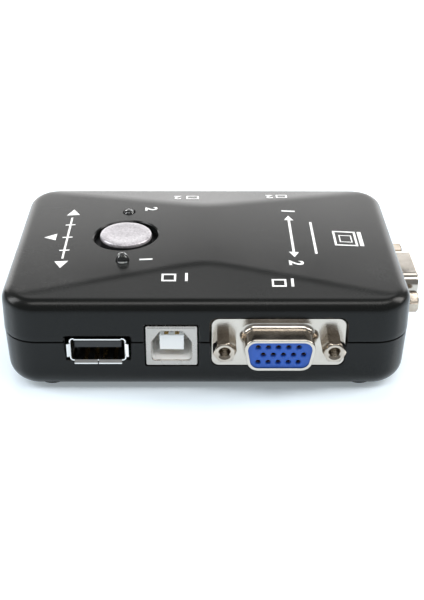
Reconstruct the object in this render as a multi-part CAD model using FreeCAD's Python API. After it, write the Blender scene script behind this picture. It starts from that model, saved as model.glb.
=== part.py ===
import FreeCAD, Part
import math
import os

# Two-computer KVM switch: a flat two-shell plastic case around one circuit board, with
# video and data sockets in its sides, a round push button and two indicator lamps on top.
# Millimetres. X runs along the long front face, Y from the front face to the back, Z up.
# Z = 0 is the plane under the rubber feet, and the origin is under the middle of the
# overall box, so the case itself sits a little to -X of it.

Vector = FreeCAD.Vector

# ---- case ----
CASE_WIDTH = 95.2
CASE_DEPTH = 63.0
CORNER_RADIUS = 8.4
WALL = 2.0
LOWER_HEIGHT = 13.5                  # underside to the seam
SIDE_RIM = 10.6                      # seam to the roof plane at the short sides
END_RIM = 10.35                      # seam to the roof facets at the long faces
RIDGE = 12.8                         # seam to the ridge line along the middle
FACET_RUN = 16.2                     # from a long face to where its facet meets the ridge
LOWER_DRAFT = 2.0                    # degrees
UPPER_DRAFT = 1.2
BOTTOM_FILLET = 5.0
RIM_FILLET = 2.7
GABLE_OVERSIZE = 0.02
SEAM_OVERHANG = 0.1                  # the upper shell stands this far proud of the lower one
SEAM_GROOVE = 0.25                   # height of the shadow line between the shells
SEAM_GROOVE_DEPTH = 0.7
LIP_HEIGHT = 1.2                     # tongue on the lower shell that locates the upper one
LIP_WIDTH = 0.8
LIP_CLEARANCE = 0.1

# ---- feet, bosses and case screws ----
FOOT_HEIGHT = 0.7                    # stands this far below the case
FOOT_RADIUS = 3.7
FOOT_RECESS = 0.5
FOOT_INSET_X = 10.6                  # foot centre in from the short sides
FOOT_INSET_Y = 7.7                   # foot centre in from the long faces
FOOT_CLEARANCE = 0.15
FOOT_EDGE = 0.3
SCREW_RADIUS = 1.25
SCREW_LENGTH = 12.0
SCREW_HEAD_RADIUS = 2.4
SCREW_HEAD_HEIGHT = 1.6
SCREW_HEAD_SEAT = 2.7                # boss seat above the underside
SCREW_CLEARANCE = 0.25
CROSS_WIDTH = 0.6
CROSS_LENGTH = 2.6
CROSS_DEPTH = 0.9
BOSS_WALL = 1.3
PILOT_SPARE = 1.0                    # pilot hole past the screw's tip

# ---- circuit board ----
BOARD_THICKNESS = 1.6
BOARD_CLEARANCE = 0.5                # board edge to the case's inner wall
LEG_CLEARANCE = 0.1                  # hole round a soldered leg
LEG_TAIL = 1.2                       # leg length below the board

# ---- video sockets, 15 contacts in three rows ----
VIDEO_X = 16.7                       # centre of the front and back sockets
VIDEO_AXIS = 6.4                     # socket axis above the board, which puts it on the seam
VIDEO_FLANGE_WIDTH = 30.8
VIDEO_FLANGE_HEIGHT = 12.5
VIDEO_FLANGE_CORNER = 1.8
VIDEO_FLANGE_THICKNESS = 0.8
VIDEO_RECESS = 0.3                   # flange face behind the case face
VIDEO_SHELL_WIDTH = 17.1
VIDEO_SHELL_HEIGHT = 8.3
VIDEO_SHELL_LEAN = 10.0              # degrees, the D shape's slanted sides
VIDEO_SHELL_CORNER = 2.7
VIDEO_SHELL_REACH = 5.75
VIDEO_SHELL_WALL = 0.75
VIDEO_SHELL_ROOT = 1.2               # radius where the D shell is drawn out of the flange
VIDEO_SHELL_EDGE = 0.3
VIDEO_FACE_RECESS = 0.35             # insulator face behind the shell's edge
VIDEO_PIN_PITCH = 2.29
VIDEO_ROW_PITCH = 1.98
VIDEO_ROW_SHIFT = 1.145              # middle row against the outer rows
VIDEO_ROWS_LEAN = 0.3                # share of that shift by which all rows sit to -X
VIDEO_SOCKET_SETBACK = 1.0           # contact's mouth behind the insulator's face
VIDEO_FOOT_THICKNESS = 1.0
VIDEO_HOLE_RADIUS = 0.56
VIDEO_HOLE_FUNNEL = 0.2
VIDEO_SOCKET_BORE = 0.38
VIDEO_SOCKET_DEPTH = 6.0
VIDEO_WIRE_RADIUS = 0.3
VIDEO_BLOCK_DEPTH = 6.0              # insulator's back face behind the flange face
VIDEO_BLOCK_WIDTH = 18.0
VIDEO_WALL_CLEARANCE = 0.2           # block behind the wall under the window
VIDEO_LEG_START = 7.4
VIDEO_LEG_PITCH = 2.5
VIDEO_BRACKET_THICKNESS = 0.5
VIDEO_BRACKET_LENGTH = 8.0
VIDEO_PEG_WIDTH = 2.0
JACK_SPACING = 25.0
JACK_FLATS = 4.75
JACK_LENGTH = 4.8
JACK_BORE = 1.2
JACK_BORE_DEPTH = 4.0
JACK_MOUTH = 1.6                     # radius of the countersunk mouth
JACK_MOUTH_DEPTH = 0.45
JACK_CHAMFER = 0.35
JACK_STUD_RADIUS = 1.42
JACK_STUD_LENGTH = 4.6
JACK_NUT_RADIUS = 2.3
JACK_NUT_LENGTH = 3.0
JACK_TURNS = (8.0, 0.0)              # degrees each post happens to be turned
FLANGE_CUT_CLEARANCE = 0.2

# ---- flat data sockets, four contacts ----
FLAT_X = -25.07
FLAT_AXIS = 4.6                      # socket axis above the board
FLAT_MOUTH_WIDTH = 12.5
FLAT_MOUTH_HEIGHT = 5.5
FLAT_WALL = 0.3
FLAT_CORNER = 0.9
FLAT_LENGTH = 14.0
FLAT_PROUD = 0.55                    # mouth's edge in front of the case face
FLAT_LIP_LENGTH = 0.5
FLAT_TOP_LIP = (10.8, 0.1)           # width along the wall, outward flare
FLAT_SIDE_LIP = (3.45, 0.6)
FLAT_BOTTOM_LIP = (11.0, 0.6)
FLAT_LIP_SPLIT = 0.25
FLAT_TONGUE_WIDTH = 10.8
FLAT_TONGUE_THICKNESS = 1.6
FLAT_TONGUE_GAP = 1.1                # above the tongue
FLAT_TONGUE_START = 1.5
FLAT_CAVITY = 9.9                    # depth of the open mouth
FLAT_CONTACTS = (-3.5, -1.0, 1.0, 3.5)
FLAT_TAB_SETBACK = 0.6               # shield legs behind the cavity's end
FLAT_FOOT_INSET = 1.0                # insulator's foot in from the shell's sides
STRIP_WIDTH = 1.0
STRIP_THICKNESS = 0.25
STRIP_SETBACK = 0.5                  # strip's tip behind the tongue's tip
STRIP_LEG_STEP = 0.2                 # legs are this much narrower each side
SHIELD_LEG_WIDTH = 2.0
FLAT_CUT = (15.1, 0.31, 0.1)         # case opening: width, room above and below the shell

# ---- square data sockets, four contacts ----
SQUARE_X = -8.0
SQUARE_WIDTH = 12.04
SQUARE_HEIGHT = 10.8
SQUARE_CORNER = 0.5
SQUARE_WALL = 0.35
SQUARE_LENGTH = 16.2
SQUARE_RECESS = 0.25
SQUARE_MOUTH_WIDTH = 9.2
SQUARE_MOUTH_HEIGHT = 7.8
SQUARE_MOUTH_CORNER = 0.9
SQUARE_MOUTH_CHAMFER = (2.0, 2.9)    # cut off the upper corners, across and down
SQUARE_MOUTH_EDGE = 0.3
SQUARE_CAVITY = 9.2
SQUARE_TONGUE_WIDTH = 5.6
SQUARE_TONGUE_HEIGHT = 3.8
SQUARE_TONGUE_DROP = -0.1
SQUARE_TONGUE_START = 1.4
SQUARE_CONTACT_OFFSET = 1.25
SQUARE_TAB_SETBACK = 2.0             # shield legs behind the cavity's end
SQUARE_FOOT_INSET = 0.5
SQUARE_LOWER_LEGS = 3.0              # lower strips' legs in from the shell's rear
SQUARE_CUT_CLEARANCE = 0.25
SQUARE_FOLD = (0.45, 0.15, 0.12)      # line under the folded top edge: down, height, depth

# ---- push button ----
BUTTON_X = -20.05
BUTTON_HOLE_RADIUS = 8.05
BUTTON_CAP_RADIUS = 6.5
BUTTON_PRESSED_PROUD = 0.05          # cap's top above the roof at its centre, fully pressed
BUTTON_CAP_SEAT = 0.4                # cap's lower edge above the carrier's flange
BUTTON_CAP_WALL = 1.0
BUTTON_CAP_EDGE = 0.7
BUTTON_TRAVEL = 0.5
BUTTON_FLANGE_LIP = 1.15             # carrier's flange past the hole's edge
BUTTON_FLANGE_THICKNESS = 1.0
BUTTON_FLANGE_GAP = 0.35             # under the roof when released
BUTTON_STEM_RADIUS = 2.6
SWITCH_SIZE = 6.0
SWITCH_BODY_HEIGHT = 3.5
SWITCH_COVER = 0.3
SWITCH_PLUNGER_RADIUS = 1.75
SWITCH_HEIGHT = 9.5                  # board to the released plunger's tip
SWITCH_LEG_X = 3.25
SWITCH_LEG_Y = 2.25
SWITCH_DOME_RADIUS = 2.0
SWITCH_DOME_SHEET = 0.1
SWITCH_SHOULDER = 0.5                # plunger's flange under the cover
SWITCH_LEG_SIZE = (0.5, 0.7)
SWITCH_WELL_CLEARANCE = 0.1

# ---- indicator lamps ----
LED_SPACING = 26.6
LED_RADIUS = 1.5
LED_HOLE_CLEARANCE = 0.13
LED_FLANGE_LIP = 0.4
LED_FLANGE_THICKNESS = 1.0
LED_FLANGE_GAP = 0.3                 # under the roof, on the lamp that stands higher
LED_PROUD = {"front": 2.0, "back": 0.75}    # dome tip above the roof
LED_LEAD = 0.45
LED_LEAD_PITCH = 2.54

# ---- parts on the board ----
CHIP_HEIGHT = 1.5
CHIP_STANDOFF = 0.15
CHIP_PITCH = 1.27
CHIP_LEAD_WIDTH = 0.42
CHIP_LEAD_THICKNESS = 0.2
CHIP_LEAD_REACH = 1.1
# name: centre X, centre Y, body length along X, body width along Y, leads on each side
VIDEO_CHIP_INSET = 27.6              # video chips in from the right-hand side
CHIPS = {
    "video_switch_red": (CASE_WIDTH / 2 - VIDEO_CHIP_INSET, 8.6, 9.9, 3.9, 8),
    "video_switch_green": (CASE_WIDTH / 2 - VIDEO_CHIP_INSET, 0.0, 9.9, 3.9, 8),
    "video_switch_blue": (CASE_WIDTH / 2 - VIDEO_CHIP_INSET, -8.6, 9.9, 3.9, 8),
    "data_switch": (3.0, 9.0, 9.9, 3.9, 8),
    "controller": (1.0, -2.0, 12.8, 7.5, 10),
}
CRYSTAL = (3.0, -11.0, 11.0, 4.6, 3.5)    # X, Y, length, width, height
CAPACITORS = ((-9.5, -10.0), (-9.5, 10.0))
CAPACITOR_RADIUS = 2.5
CAPACITOR_HEIGHT = 7.0
CRYSTAL_CORNER = 2.09
CAPACITOR_EDGE = 0.4
CHIP_RESISTOR = (1.6, 0.8, 0.5)      # length, width, height
RESISTOR_ROWS = (-4.4, 4.4)
RESISTOR_PITCH = 2.6
RESISTOR_COUNT = 6
RESISTOR_INSET = 35.6                # first resistor in from the right-hand side
CHIP_CAPACITOR = (2.0, 1.25, 1.0)
SWITCH_CAPACITOR_X = -8.0
SWITCH_CAPACITOR_PITCH = 3.0
SWITCH_CAPACITOR_COUNT = 5
VIDEO_CAPACITOR_INSET = 18.6         # one beside each video chip, in from the right-hand side

# ---- worked out ----
BUTTON_CAP_PROUD = BUTTON_TRAVEL + BUTTON_PRESSED_PROUD
BUTTON_FLANGE_RADIUS = BUTTON_HOLE_RADIUS + BUTTON_FLANGE_LIP
LED_FLANGE_RADIUS = LED_RADIUS + LED_FLANGE_LIP
LED_HEIGHT = max(LED_PROUD.values()) + WALL + LED_FLANGE_GAP + LED_FLANGE_THICKNESS
UNDERSIDE_Z = FOOT_HEIGHT
SEAM_Z = UNDERSIDE_Z + LOWER_HEIGHT
BOARD_TOP = SEAM_Z - VIDEO_AXIS
BOARD_BOTTOM = BOARD_TOP - BOARD_THICKNESS
LEG_END = BOARD_BOTTOM - LEG_TAIL
VIDEO_SIDE_REACH = CASE_WIDTH / 2 - VIDEO_RECESS + VIDEO_SHELL_REACH
FLAT_SIDE_REACH = CASE_WIDTH / 2 + FLAT_PROUD
ORIGIN_SHIFT = Vector((FLAT_SIDE_REACH - VIDEO_SIDE_REACH) / 2, 0, 0)
VIDEO_PORTS = {"front": VIDEO_X, "back": VIDEO_X, "right": 0.0}
FLAT_PORTS = {"front": FLAT_X, "back": FLAT_X, "left": 0.0}
SQUARE_PORTS = {"front": SQUARE_X, "back": SQUARE_X}


# ---- shared shapes ----
def save(name, *pieces):
    group = Part.makeCompound([piece.copy() for piece in pieces])
    group.translate(ORIGIN_SHIFT)
    group.exportStep("parts/" + name + ".step")


def block(x0, x1, y0, y1, z0, z1):
    return Part.makeBox(x1 - x0, y1 - y0, z1 - z0, Vector(x0, y0, z0))


def rod(radius, start, end):
    along = end - start
    return Part.makeCylinder(radius, along.Length, start, along)


def join(pieces):
    return pieces[0].multiFuse(pieces[1:]).removeSplitter().Solids[0]


def on_plan(z):
    """Outline points laid flat at height z."""
    return lambda a, b: Vector(a, b, z)


def upright(y):
    """Outline points stood up facing the front, at depth y."""
    return lambda a, b: Vector(a, y, b)


def outline(corners, radius, place):
    """Closed wire through flat corner points, each corner rounded by a tangent arc."""
    arcs = []
    for i, corner in enumerate(corners):
        here = place(*corner)
        to_last = (place(*corners[i - 1]) - here).normalize()
        to_next = (place(*corners[(i + 1) % len(corners)]) - here).normalize()
        half_angle = to_last.getAngle(to_next) / 2
        reach = radius / math.tan(half_angle)
        middle = (to_last + to_next).normalize()
        crest = here + middle * (radius / math.sin(half_angle) - radius)
        arcs.append(Part.Arc(here + to_last * reach, crest, here + to_next * reach).toShape())
    edges = []
    for i, arc in enumerate(arcs):
        edges.append(arc)
        gap_start = arc.Vertexes[-1].Point
        gap_end = arcs[(i + 1) % len(arcs)].Vertexes[0].Point
        edges.append(Part.LineSegment(gap_start, gap_end).toShape())
    return Part.Wire(Part.__sortEdges__(edges))


def rectangle(width, height):
    a = width / 2
    b = height / 2
    return [(-a, -b), (a, -b), (a, b), (-a, b)]


def upright_prism(corners, radius, y0, y1):
    face = Part.Face(outline(corners, radius, upright(y0)))
    return face.extrude(Vector(0, y1 - y0, 0))


def profile_prism(points, direction):
    """Solid swept straight from a flat polygon of 3-D points."""
    return Part.Face(Part.makePolygon(points + points[:1])).extrude(direction)


def stand_at(shape, side, along, height, recess):
    """Turn a socket piece modelled facing -Y to face out of one side of the case."""
    turns = {"front": 0, "right": 90, "back": 180, "left": -90}
    across = CASE_DEPTH if side in ("front", "back") else CASE_WIDTH
    reach = across / 2 - recess
    centres = {
        "front": (along, -reach),
        "back": (along, reach),
        "right": (reach, along),
        "left": (-reach, along),
    }
    placed = shape.copy()
    placed.rotate(Vector(0, 0, 0), Vector(0, 0, 1), turns[side])
    placed.translate(Vector(centres[side][0], centres[side][1], height))
    return placed


# ---- case shells ----
def plan_loft(inset, z0, z1, grow0, grow1):
    """Rounded-rectangle column between two heights, each end grown from the case size."""
    wires = []
    for z, grow in ((z0, grow0), (z1, grow1)):
        offset = grow - inset
        corners = rectangle(CASE_WIDTH + 2 * offset, CASE_DEPTH + 2 * offset)
        wires.append(outline(corners, CORNER_RADIUS + offset, on_plan(z)))
    return Part.makeLoft(wires, True, True)


def roof_height(x, y, drop=0.0):
    """Height of the roof over a point of the plan."""
    side = RIDGE - (RIDGE - SIDE_RIM) * abs(x) / (CASE_WIDTH / 2)
    end = END_RIM + (RIDGE - END_RIM) * (CASE_DEPTH / 2 - abs(y)) / FACET_RUN
    return SEAM_Z + min(side, end) - drop


def side_gable(drop):
    """Everything under the two long roof planes that fall from the ridge to the short sides."""
    wide = CASE_WIDTH
    deep = CASE_DEPTH
    low = SEAM_Z + 2 * SIDE_RIM - RIDGE - drop
    section = [
        Vector(-wide, -deep, 0),
        Vector(wide, -deep, 0),
        Vector(wide, -deep, low),
        Vector(0, -deep, SEAM_Z + RIDGE - drop),
        Vector(-wide, -deep, low),
    ]
    return profile_prism(section, Vector(0, 2 * deep, 0))


def end_gable(drop):
    """Everything under the two facets that fall to the front and back faces."""
    wide = CASE_WIDTH
    deep = CASE_DEPTH
    fall = (RIDGE - END_RIM) / FACET_RUN * deep / 2
    section = [
        Vector(-wide, -deep, 0),
        Vector(-wide, deep, 0),
        Vector(-wide, deep, SEAM_Z + END_RIM - fall - drop),
        Vector(-wide, 0, SEAM_Z + END_RIM + fall - drop),
        Vector(-wide, -deep, SEAM_Z + END_RIM - fall - drop),
    ]
    return profile_prism(section, Vector(2 * wide, 0, 0))


def rim_edges(solid):
    """Edges where the upper shell's walls meet its roof."""
    chosen = []
    for edge in solid.Edges:
        middle = edge.valueAt((edge.FirstParameter + edge.LastParameter) / 2)
        high = min(v.Z for v in edge.Vertexes) > SEAM_Z + END_RIM / 2
        level = edge.BoundBox.ZLength < END_RIM / 2
        by_side = abs(middle.x) > CASE_WIDTH / 2 - CORNER_RADIUS / 2
        by_end = abs(middle.y) > CASE_DEPTH / 2 - CORNER_RADIUS / 2
        if high and level and (by_side or by_end):
            chosen.append(edge)
    return chosen


def upper_body(inset, z0, rounding=0.0):
    """The upper shell's outer or inner form: a drafted column under both gables.

    The two gables are rounded one at a time and then crossed. The second column is a hair
    larger, so that the walls of the two never lie in one surface.
    """
    rise = RIDGE * 1.5           # columns stand clear above the roof before they are cut
    lean = math.tan(math.radians(UPPER_DRAFT))
    crossed = []
    for roof, grow in ((side_gable(inset), 0.0), (end_gable(inset), GABLE_OVERSIZE)):
        low = SEAM_OVERHANG + grow - (z0 - grow - SEAM_Z) * lean
        high = SEAM_OVERHANG + grow - rise * lean
        body = plan_loft(inset, z0 - grow, SEAM_Z + rise, low, high).common(roof).Solids[0]
        if rounding:
            body = body.makeFillet(rounding, rim_edges(body)).Solids[0]
        crossed.append(body)
    return crossed[0].common(crossed[1]).Solids[0]


def lower_body(inset, z0):
    lean = math.tan(math.radians(LOWER_DRAFT))
    return plan_loft(inset, z0, SEAM_Z, -(SEAM_Z - z0) * lean, 0.0)


def edges_at_height(solid, z):
    return [e for e in solid.Edges if all(abs(v.Z - z) < 1e-6 for v in e.Vertexes)]


def corner_spots():
    x = CASE_WIDTH / 2 - FOOT_INSET_X
    y = CASE_DEPTH / 2 - FOOT_INSET_Y
    return [(-x, -y), (x, -y), (x, y), (-x, y)]


def port_openings():
    """Solids that cut every socket's window through the case walls."""
    cuts = []
    through = 3 * WALL
    corners = rectangle(
        VIDEO_FLANGE_WIDTH + 2 * FLANGE_CUT_CLEARANCE,
        VIDEO_FLANGE_HEIGHT + 2 * FLANGE_CUT_CLEARANCE,
    )
    window = upright_prism(corners, VIDEO_FLANGE_CORNER, -through, through)
    for side, along in VIDEO_PORTS.items():
        cuts.append(stand_at(window, side, along, SEAM_Z, 0))
    width, above, below = FLAT_CUT
    half = FLAT_MOUTH_HEIGHT / 2 + FLAT_WALL
    window = block(-width / 2, width / 2, -through, through, -half - below, half + above)
    for side, along in FLAT_PORTS.items():
        cuts.append(stand_at(window, side, along, BOARD_TOP + FLAT_AXIS, 0))
    corners = rectangle(
        SQUARE_WIDTH + 2 * SQUARE_CUT_CLEARANCE,
        SQUARE_HEIGHT + 2 * SQUARE_CUT_CLEARANCE,
    )
    window = upright_prism(corners, SQUARE_CORNER, -through, through)
    for side, along in SQUARE_PORTS.items():
        cuts.append(stand_at(window, side, along, BOARD_TOP + SQUARE_HEIGHT / 2, 0))
    return cuts


def upper_case():
    shell = upper_body(0, SEAM_Z, RIM_FILLET).cut(upper_body(WALL, SEAM_Z - 1))
    boss_radius = SCREW_RADIUS + BOSS_WALL
    top = SEAM_Z + RIDGE
    under_roof = upper_body(WALL / 2, BOARD_TOP)
    roofed = []
    for x, y in corner_spots():
        boss = rod(boss_radius, Vector(x, y, BOARD_TOP), Vector(x, y, top))
        roofed.append(boss.common(under_roof))
    shell = shell.multiFuse(roofed)
    groove = plan_loft(SEAM_GROOVE_DEPTH, SEAM_Z, SEAM_Z + SEAM_GROOVE, 0, 0)
    rim = plan_loft(-WALL, SEAM_Z, SEAM_Z + SEAM_GROOVE, 0, 0).cut(groove)
    lip_outer = WALL - LIP_WIDTH - LIP_CLEARANCE
    lip_room = plan_loft(lip_outer, SEAM_Z - 1, SEAM_Z + LIP_HEIGHT + LIP_CLEARANCE, 0, 0)
    lip_core = plan_loft(WALL + LIP_WIDTH, SEAM_Z - 2, SEAM_Z + LIP_HEIGHT * 2, 0, 0)
    pilots = []
    for x, y in corner_spots():
        pilot_top = UNDERSIDE_Z + SCREW_HEAD_SEAT + SCREW_LENGTH + PILOT_SPARE
        pilots.append(rod(SCREW_RADIUS, Vector(x, y, BOARD_TOP - 1), Vector(x, y, pilot_top)))
    top_cuts = [rod(BUTTON_HOLE_RADIUS, Vector(BUTTON_X, 0, SEAM_Z), Vector(BUTTON_X, 0, top + 1))]
    for y in led_places().values():
        radius = LED_RADIUS + LED_HOLE_CLEARANCE
        top_cuts.append(rod(radius, Vector(BUTTON_X, y, SEAM_Z), Vector(BUTTON_X, y, top + 1)))
    return shell.cut([rim, lip_room.cut(lip_core)] + pilots + top_cuts + port_openings())


def lower_case():
    outer = lower_body(0, UNDERSIDE_Z)
    outer = outer.makeFillet(BOTTOM_FILLET, edges_at_height(outer, UNDERSIDE_Z))
    floor_z = UNDERSIDE_Z + WALL
    inner = lower_body(WALL, floor_z)
    inner = inner.makeFillet(BOTTOM_FILLET - WALL, edges_at_height(inner, floor_z))
    shell = outer.cut(inner)
    boss_radius = SCREW_HEAD_RADIUS + SCREW_CLEARANCE + BOSS_WALL
    bosses = []
    cuts = []
    for x, y in corner_spots():
        seat = UNDERSIDE_Z + SCREW_HEAD_SEAT
        head_room = SCREW_HEAD_RADIUS + SCREW_CLEARANCE
        foot_room = FOOT_RADIUS + FOOT_CLEARANCE
        shank_room = SCREW_RADIUS + SCREW_CLEARANCE
        bosses.append(rod(boss_radius, Vector(x, y, floor_z - WALL / 2), Vector(x, y, BOARD_BOTTOM)))
        cuts.append(rod(foot_room, Vector(x, y, 0), Vector(x, y, UNDERSIDE_Z + FOOT_RECESS)))
        cuts.append(rod(head_room, Vector(x, y, 0), Vector(x, y, seat)))
        cuts.append(rod(shank_room, Vector(x, y, 0), Vector(x, y, SEAM_Z)))
    lip_outer = WALL - LIP_WIDTH
    lip_base = plan_loft(lip_outer, SEAM_Z, SEAM_Z + LIP_HEIGHT, 0, 0)
    lip = lip_base.cut(plan_loft(WALL, SEAM_Z - 1, SEAM_Z + LIP_HEIGHT + 1, 0, 0))
    notches = []
    for x, y in corner_spots():
        gap = SCREW_RADIUS + BOSS_WALL + LIP_CLEARANCE
        notches.append(rod(gap, Vector(x, y, SEAM_Z - 1), Vector(x, y, SEAM_Z + LIP_HEIGHT + 1)))
    shell = shell.multiFuse(bosses + [lip.cut(notches)])
    return shell.cut(cuts + port_openings())


def rubber_foot(x, y):
    top = UNDERSIDE_Z + FOOT_RECESS
    foot = rod(FOOT_RADIUS, Vector(x, y, 0), Vector(x, y, top))
    return foot.makeFillet(FOOT_EDGE, edges_at_height(foot, 0))


def case_screw(x, y):
    seat = UNDERSIDE_Z + SCREW_HEAD_SEAT
    head_bottom = seat - SCREW_HEAD_HEIGHT
    head = rod(SCREW_HEAD_RADIUS, Vector(x, y, head_bottom), Vector(x, y, seat))
    head = head.makeFillet(SCREW_HEAD_HEIGHT / 2, edges_at_height(head, head_bottom))
    shank = rod(SCREW_RADIUS, Vector(x, y, seat), Vector(x, y, seat + SCREW_LENGTH))
    half = CROSS_LENGTH / 2
    thin = CROSS_WIDTH / 2
    deep = head_bottom + CROSS_DEPTH
    cross = block(x - half, x + half, y - thin, y + thin, 0, deep)
    cross = cross.fuse(block(x - thin, x + thin, y - half, y + half, 0, deep))
    return join([head, shank]).cut(cross)


# ---- video socket, facing -Y with its axis at the origin ----
def d_corners(inset):
    """Corners of the D shape, wide side up, shrunk evenly by inset."""
    lean = math.tan(math.radians(VIDEO_SHELL_LEAN))
    slant = inset / math.cos(math.radians(VIDEO_SHELL_LEAN))
    half_height = VIDEO_SHELL_HEIGHT / 2 - inset
    half_top = VIDEO_SHELL_WIDTH / 2 - inset * lean - slant
    half_bottom = VIDEO_SHELL_WIDTH / 2 - (VIDEO_SHELL_HEIGHT - inset) * lean - slant
    return [
        (-half_bottom, -half_height),
        (half_bottom, -half_height),
        (half_top, half_height),
        (-half_top, half_height),
    ]


def d_prism(inset, y0, y1):
    return upright_prism(d_corners(inset), VIDEO_SHELL_CORNER - inset, y0, y1)


def edges_on_d(solid, y):
    """Edges of the D outline that lie at depth y, clear of the flange's own edge."""
    chosen = []
    for edge in solid.Edges:
        box = edge.BoundBox
        at_depth = abs(box.YMin - y) < 1e-4 and abs(box.YMax - y) < 1e-4
        inside = box.XMax < VIDEO_SHELL_WIDTH / 2 + 1 and box.XMin > -VIDEO_SHELL_WIDTH / 2 - 1
        if at_depth and inside and abs(box.ZMax) < VIDEO_SHELL_HEIGHT / 2 + 1:
            chosen.append(edge)
    return [e for e in chosen if abs(e.BoundBox.ZMin) < VIDEO_SHELL_HEIGHT / 2 + 1]


def jack_places():
    return [Vector(-JACK_SPACING / 2, 0, 0), Vector(JACK_SPACING / 2, 0, 0)]


def video_shell():
    corners = rectangle(VIDEO_FLANGE_WIDTH, VIDEO_FLANGE_HEIGHT)
    flange = upright_prism(corners, VIDEO_FLANGE_CORNER, 0, VIDEO_FLANGE_THICKNESS)
    shell = flange.fuse(d_prism(0, -VIDEO_SHELL_REACH, VIDEO_FLANGE_THICKNESS / 2)).removeSplitter()
    shell = shell.makeFillet(VIDEO_SHELL_ROOT, edges_on_d(shell, 0))
    shell = shell.makeFillet(VIDEO_SHELL_EDGE, edges_on_d(shell, -VIDEO_SHELL_REACH))
    cuts = [d_prism(VIDEO_SHELL_WALL, -VIDEO_SHELL_REACH - 1, VIDEO_FLANGE_THICKNESS + 1)]
    for place in jack_places():
        deep = Vector(0, VIDEO_FLANGE_THICKNESS + 1, 0)
        cuts.append(rod(JACK_STUD_RADIUS + LEG_CLEARANCE, place - deep, place + deep))
    return shell.cut(cuts)


def pin_places():
    """Centres of the 15 contacts, row by row from the top, with each row's leg depth."""
    places = []
    for row in range(3):
        shift = VIDEO_ROW_SHIFT if row == 1 else 0.0
        centre = shift - VIDEO_ROW_SHIFT * VIDEO_ROWS_LEAN
        z = (1 - row) * VIDEO_ROW_PITCH
        leg_y = VIDEO_LEG_START + (2 - row) * VIDEO_LEG_PITCH
        for column in range(5):
            places.append((centre + (column - 2) * VIDEO_PIN_PITCH, z, leg_y))
    return places


def video_contact(x, z, leg_y):
    face = -VIDEO_SHELL_REACH + VIDEO_FACE_RECESS
    start = Vector(x, face + VIDEO_SOCKET_SETBACK, z)
    rear = Vector(x, VIDEO_BLOCK_DEPTH, z)
    elbow = Vector(x, leg_y, z)
    socket = rod(VIDEO_HOLE_RADIUS, start, rear)
    tail = rod(VIDEO_WIRE_RADIUS, rear, elbow)
    leg = rod(VIDEO_WIRE_RADIUS, elbow, Vector(x, leg_y, LEG_END - SEAM_Z))
    knuckle = Part.makeSphere(VIDEO_WIRE_RADIUS, elbow)
    bore = rod(VIDEO_SOCKET_BORE, start, start + Vector(0, VIDEO_SOCKET_DEPTH, 0))
    return join([socket, tail, knuckle, leg]).cut(bore)


def video_insulator():
    face = -VIDEO_SHELL_REACH + VIDEO_FACE_RECESS
    plate_back = VIDEO_FLANGE_THICKNESS + VIDEO_BRACKET_THICKNESS
    half = VIDEO_BLOCK_WIDTH / 2
    top = VIDEO_SHELL_HEIGHT / 2
    neck_foot = max(-VIDEO_AXIS, -VIDEO_FLANGE_HEIGHT / 2)
    wall_lean = VIDEO_AXIS * math.tan(math.radians(LOWER_DRAFT))
    wall_back = WALL - VIDEO_RECESS + wall_lean + VIDEO_WALL_CLEARANCE
    nose = d_prism(VIDEO_SHELL_WALL, face, plate_back)
    neck = block(-half, half, plate_back, wall_back, neck_foot, top)
    rear = block(-half, half, wall_back, VIDEO_BLOCK_DEPTH, -VIDEO_AXIS, top)
    foot_back = VIDEO_LEG_START + 3 * VIDEO_LEG_PITCH
    foot_top = VIDEO_FOOT_THICKNESS - VIDEO_AXIS
    foot = block(-half, half, VIDEO_BLOCK_DEPTH, foot_back, -VIDEO_AXIS, foot_top)
    body = join([nose, neck, rear, foot])
    cuts = []
    for x, z, leg_y in pin_places():
        mouth = Vector(x, face, z)
        cuts.append(rod(VIDEO_HOLE_RADIUS, mouth - Vector(0, 1, 0), Vector(x, VIDEO_BLOCK_DEPTH, z)))
        funnel_radius = VIDEO_HOLE_RADIUS + VIDEO_HOLE_FUNNEL
        cuts.append(
            Part.makeCone(
                funnel_radius, VIDEO_HOLE_RADIUS, VIDEO_HOLE_FUNNEL, mouth, Vector(0, 1, 0)
            )
        )
        leg_top = Vector(x, leg_y, foot_top + 1)
        cuts.append(rod(VIDEO_WIRE_RADIUS, leg_top, Vector(x, leg_y, -VIDEO_AXIS - 1)))
    return body.cut(cuts)


def video_bracket():
    """Rear plate with the jackscrew nuts and two side plates that peg into the board."""
    y0 = VIDEO_FLANGE_THICKNESS
    y1 = y0 + VIDEO_BRACKET_THICKNESS
    inset = 2 * VIDEO_BRACKET_THICKNESS
    plate_size = (VIDEO_FLANGE_WIDTH - inset, VIDEO_FLANGE_HEIGHT - inset)
    pieces = [upright_prism(rectangle(*plate_size), VIDEO_FLANGE_CORNER - inset / 2, y0, y1)]
    cuts = [d_prism(VIDEO_SHELL_WALL, y0 - 1, y1 + 1)]
    for place in jack_places():
        nut_end = place + Vector(0, y1 + JACK_NUT_LENGTH, 0)
        pieces.append(rod(JACK_NUT_RADIUS, place + Vector(0, y0, 0), nut_end))
        cuts.append(rod(JACK_STUD_RADIUS, place, nut_end + Vector(0, 1, 0)))
    outer = VIDEO_FLANGE_WIDTH / 2 - VIDEO_BRACKET_THICKNESS
    inner = outer - VIDEO_BRACKET_THICKNESS
    low = VIDEO_FLANGE_CORNER - VIDEO_FLANGE_HEIGHT / 2
    high = VIDEO_FLANGE_HEIGHT / 4
    peg_y = VIDEO_BRACKET_LENGTH / 2
    peg_end = LEG_END - SEAM_Z
    for x0, x1 in ((-outer, -inner), (inner, outer)):
        pieces.append(block(x0, x1, y0, VIDEO_BRACKET_LENGTH, low, high))
        pieces.append(block(x0, x1, peg_y, peg_y + VIDEO_PEG_WIDTH, peg_end, low))
    return join(pieces).cut(cuts)


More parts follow.
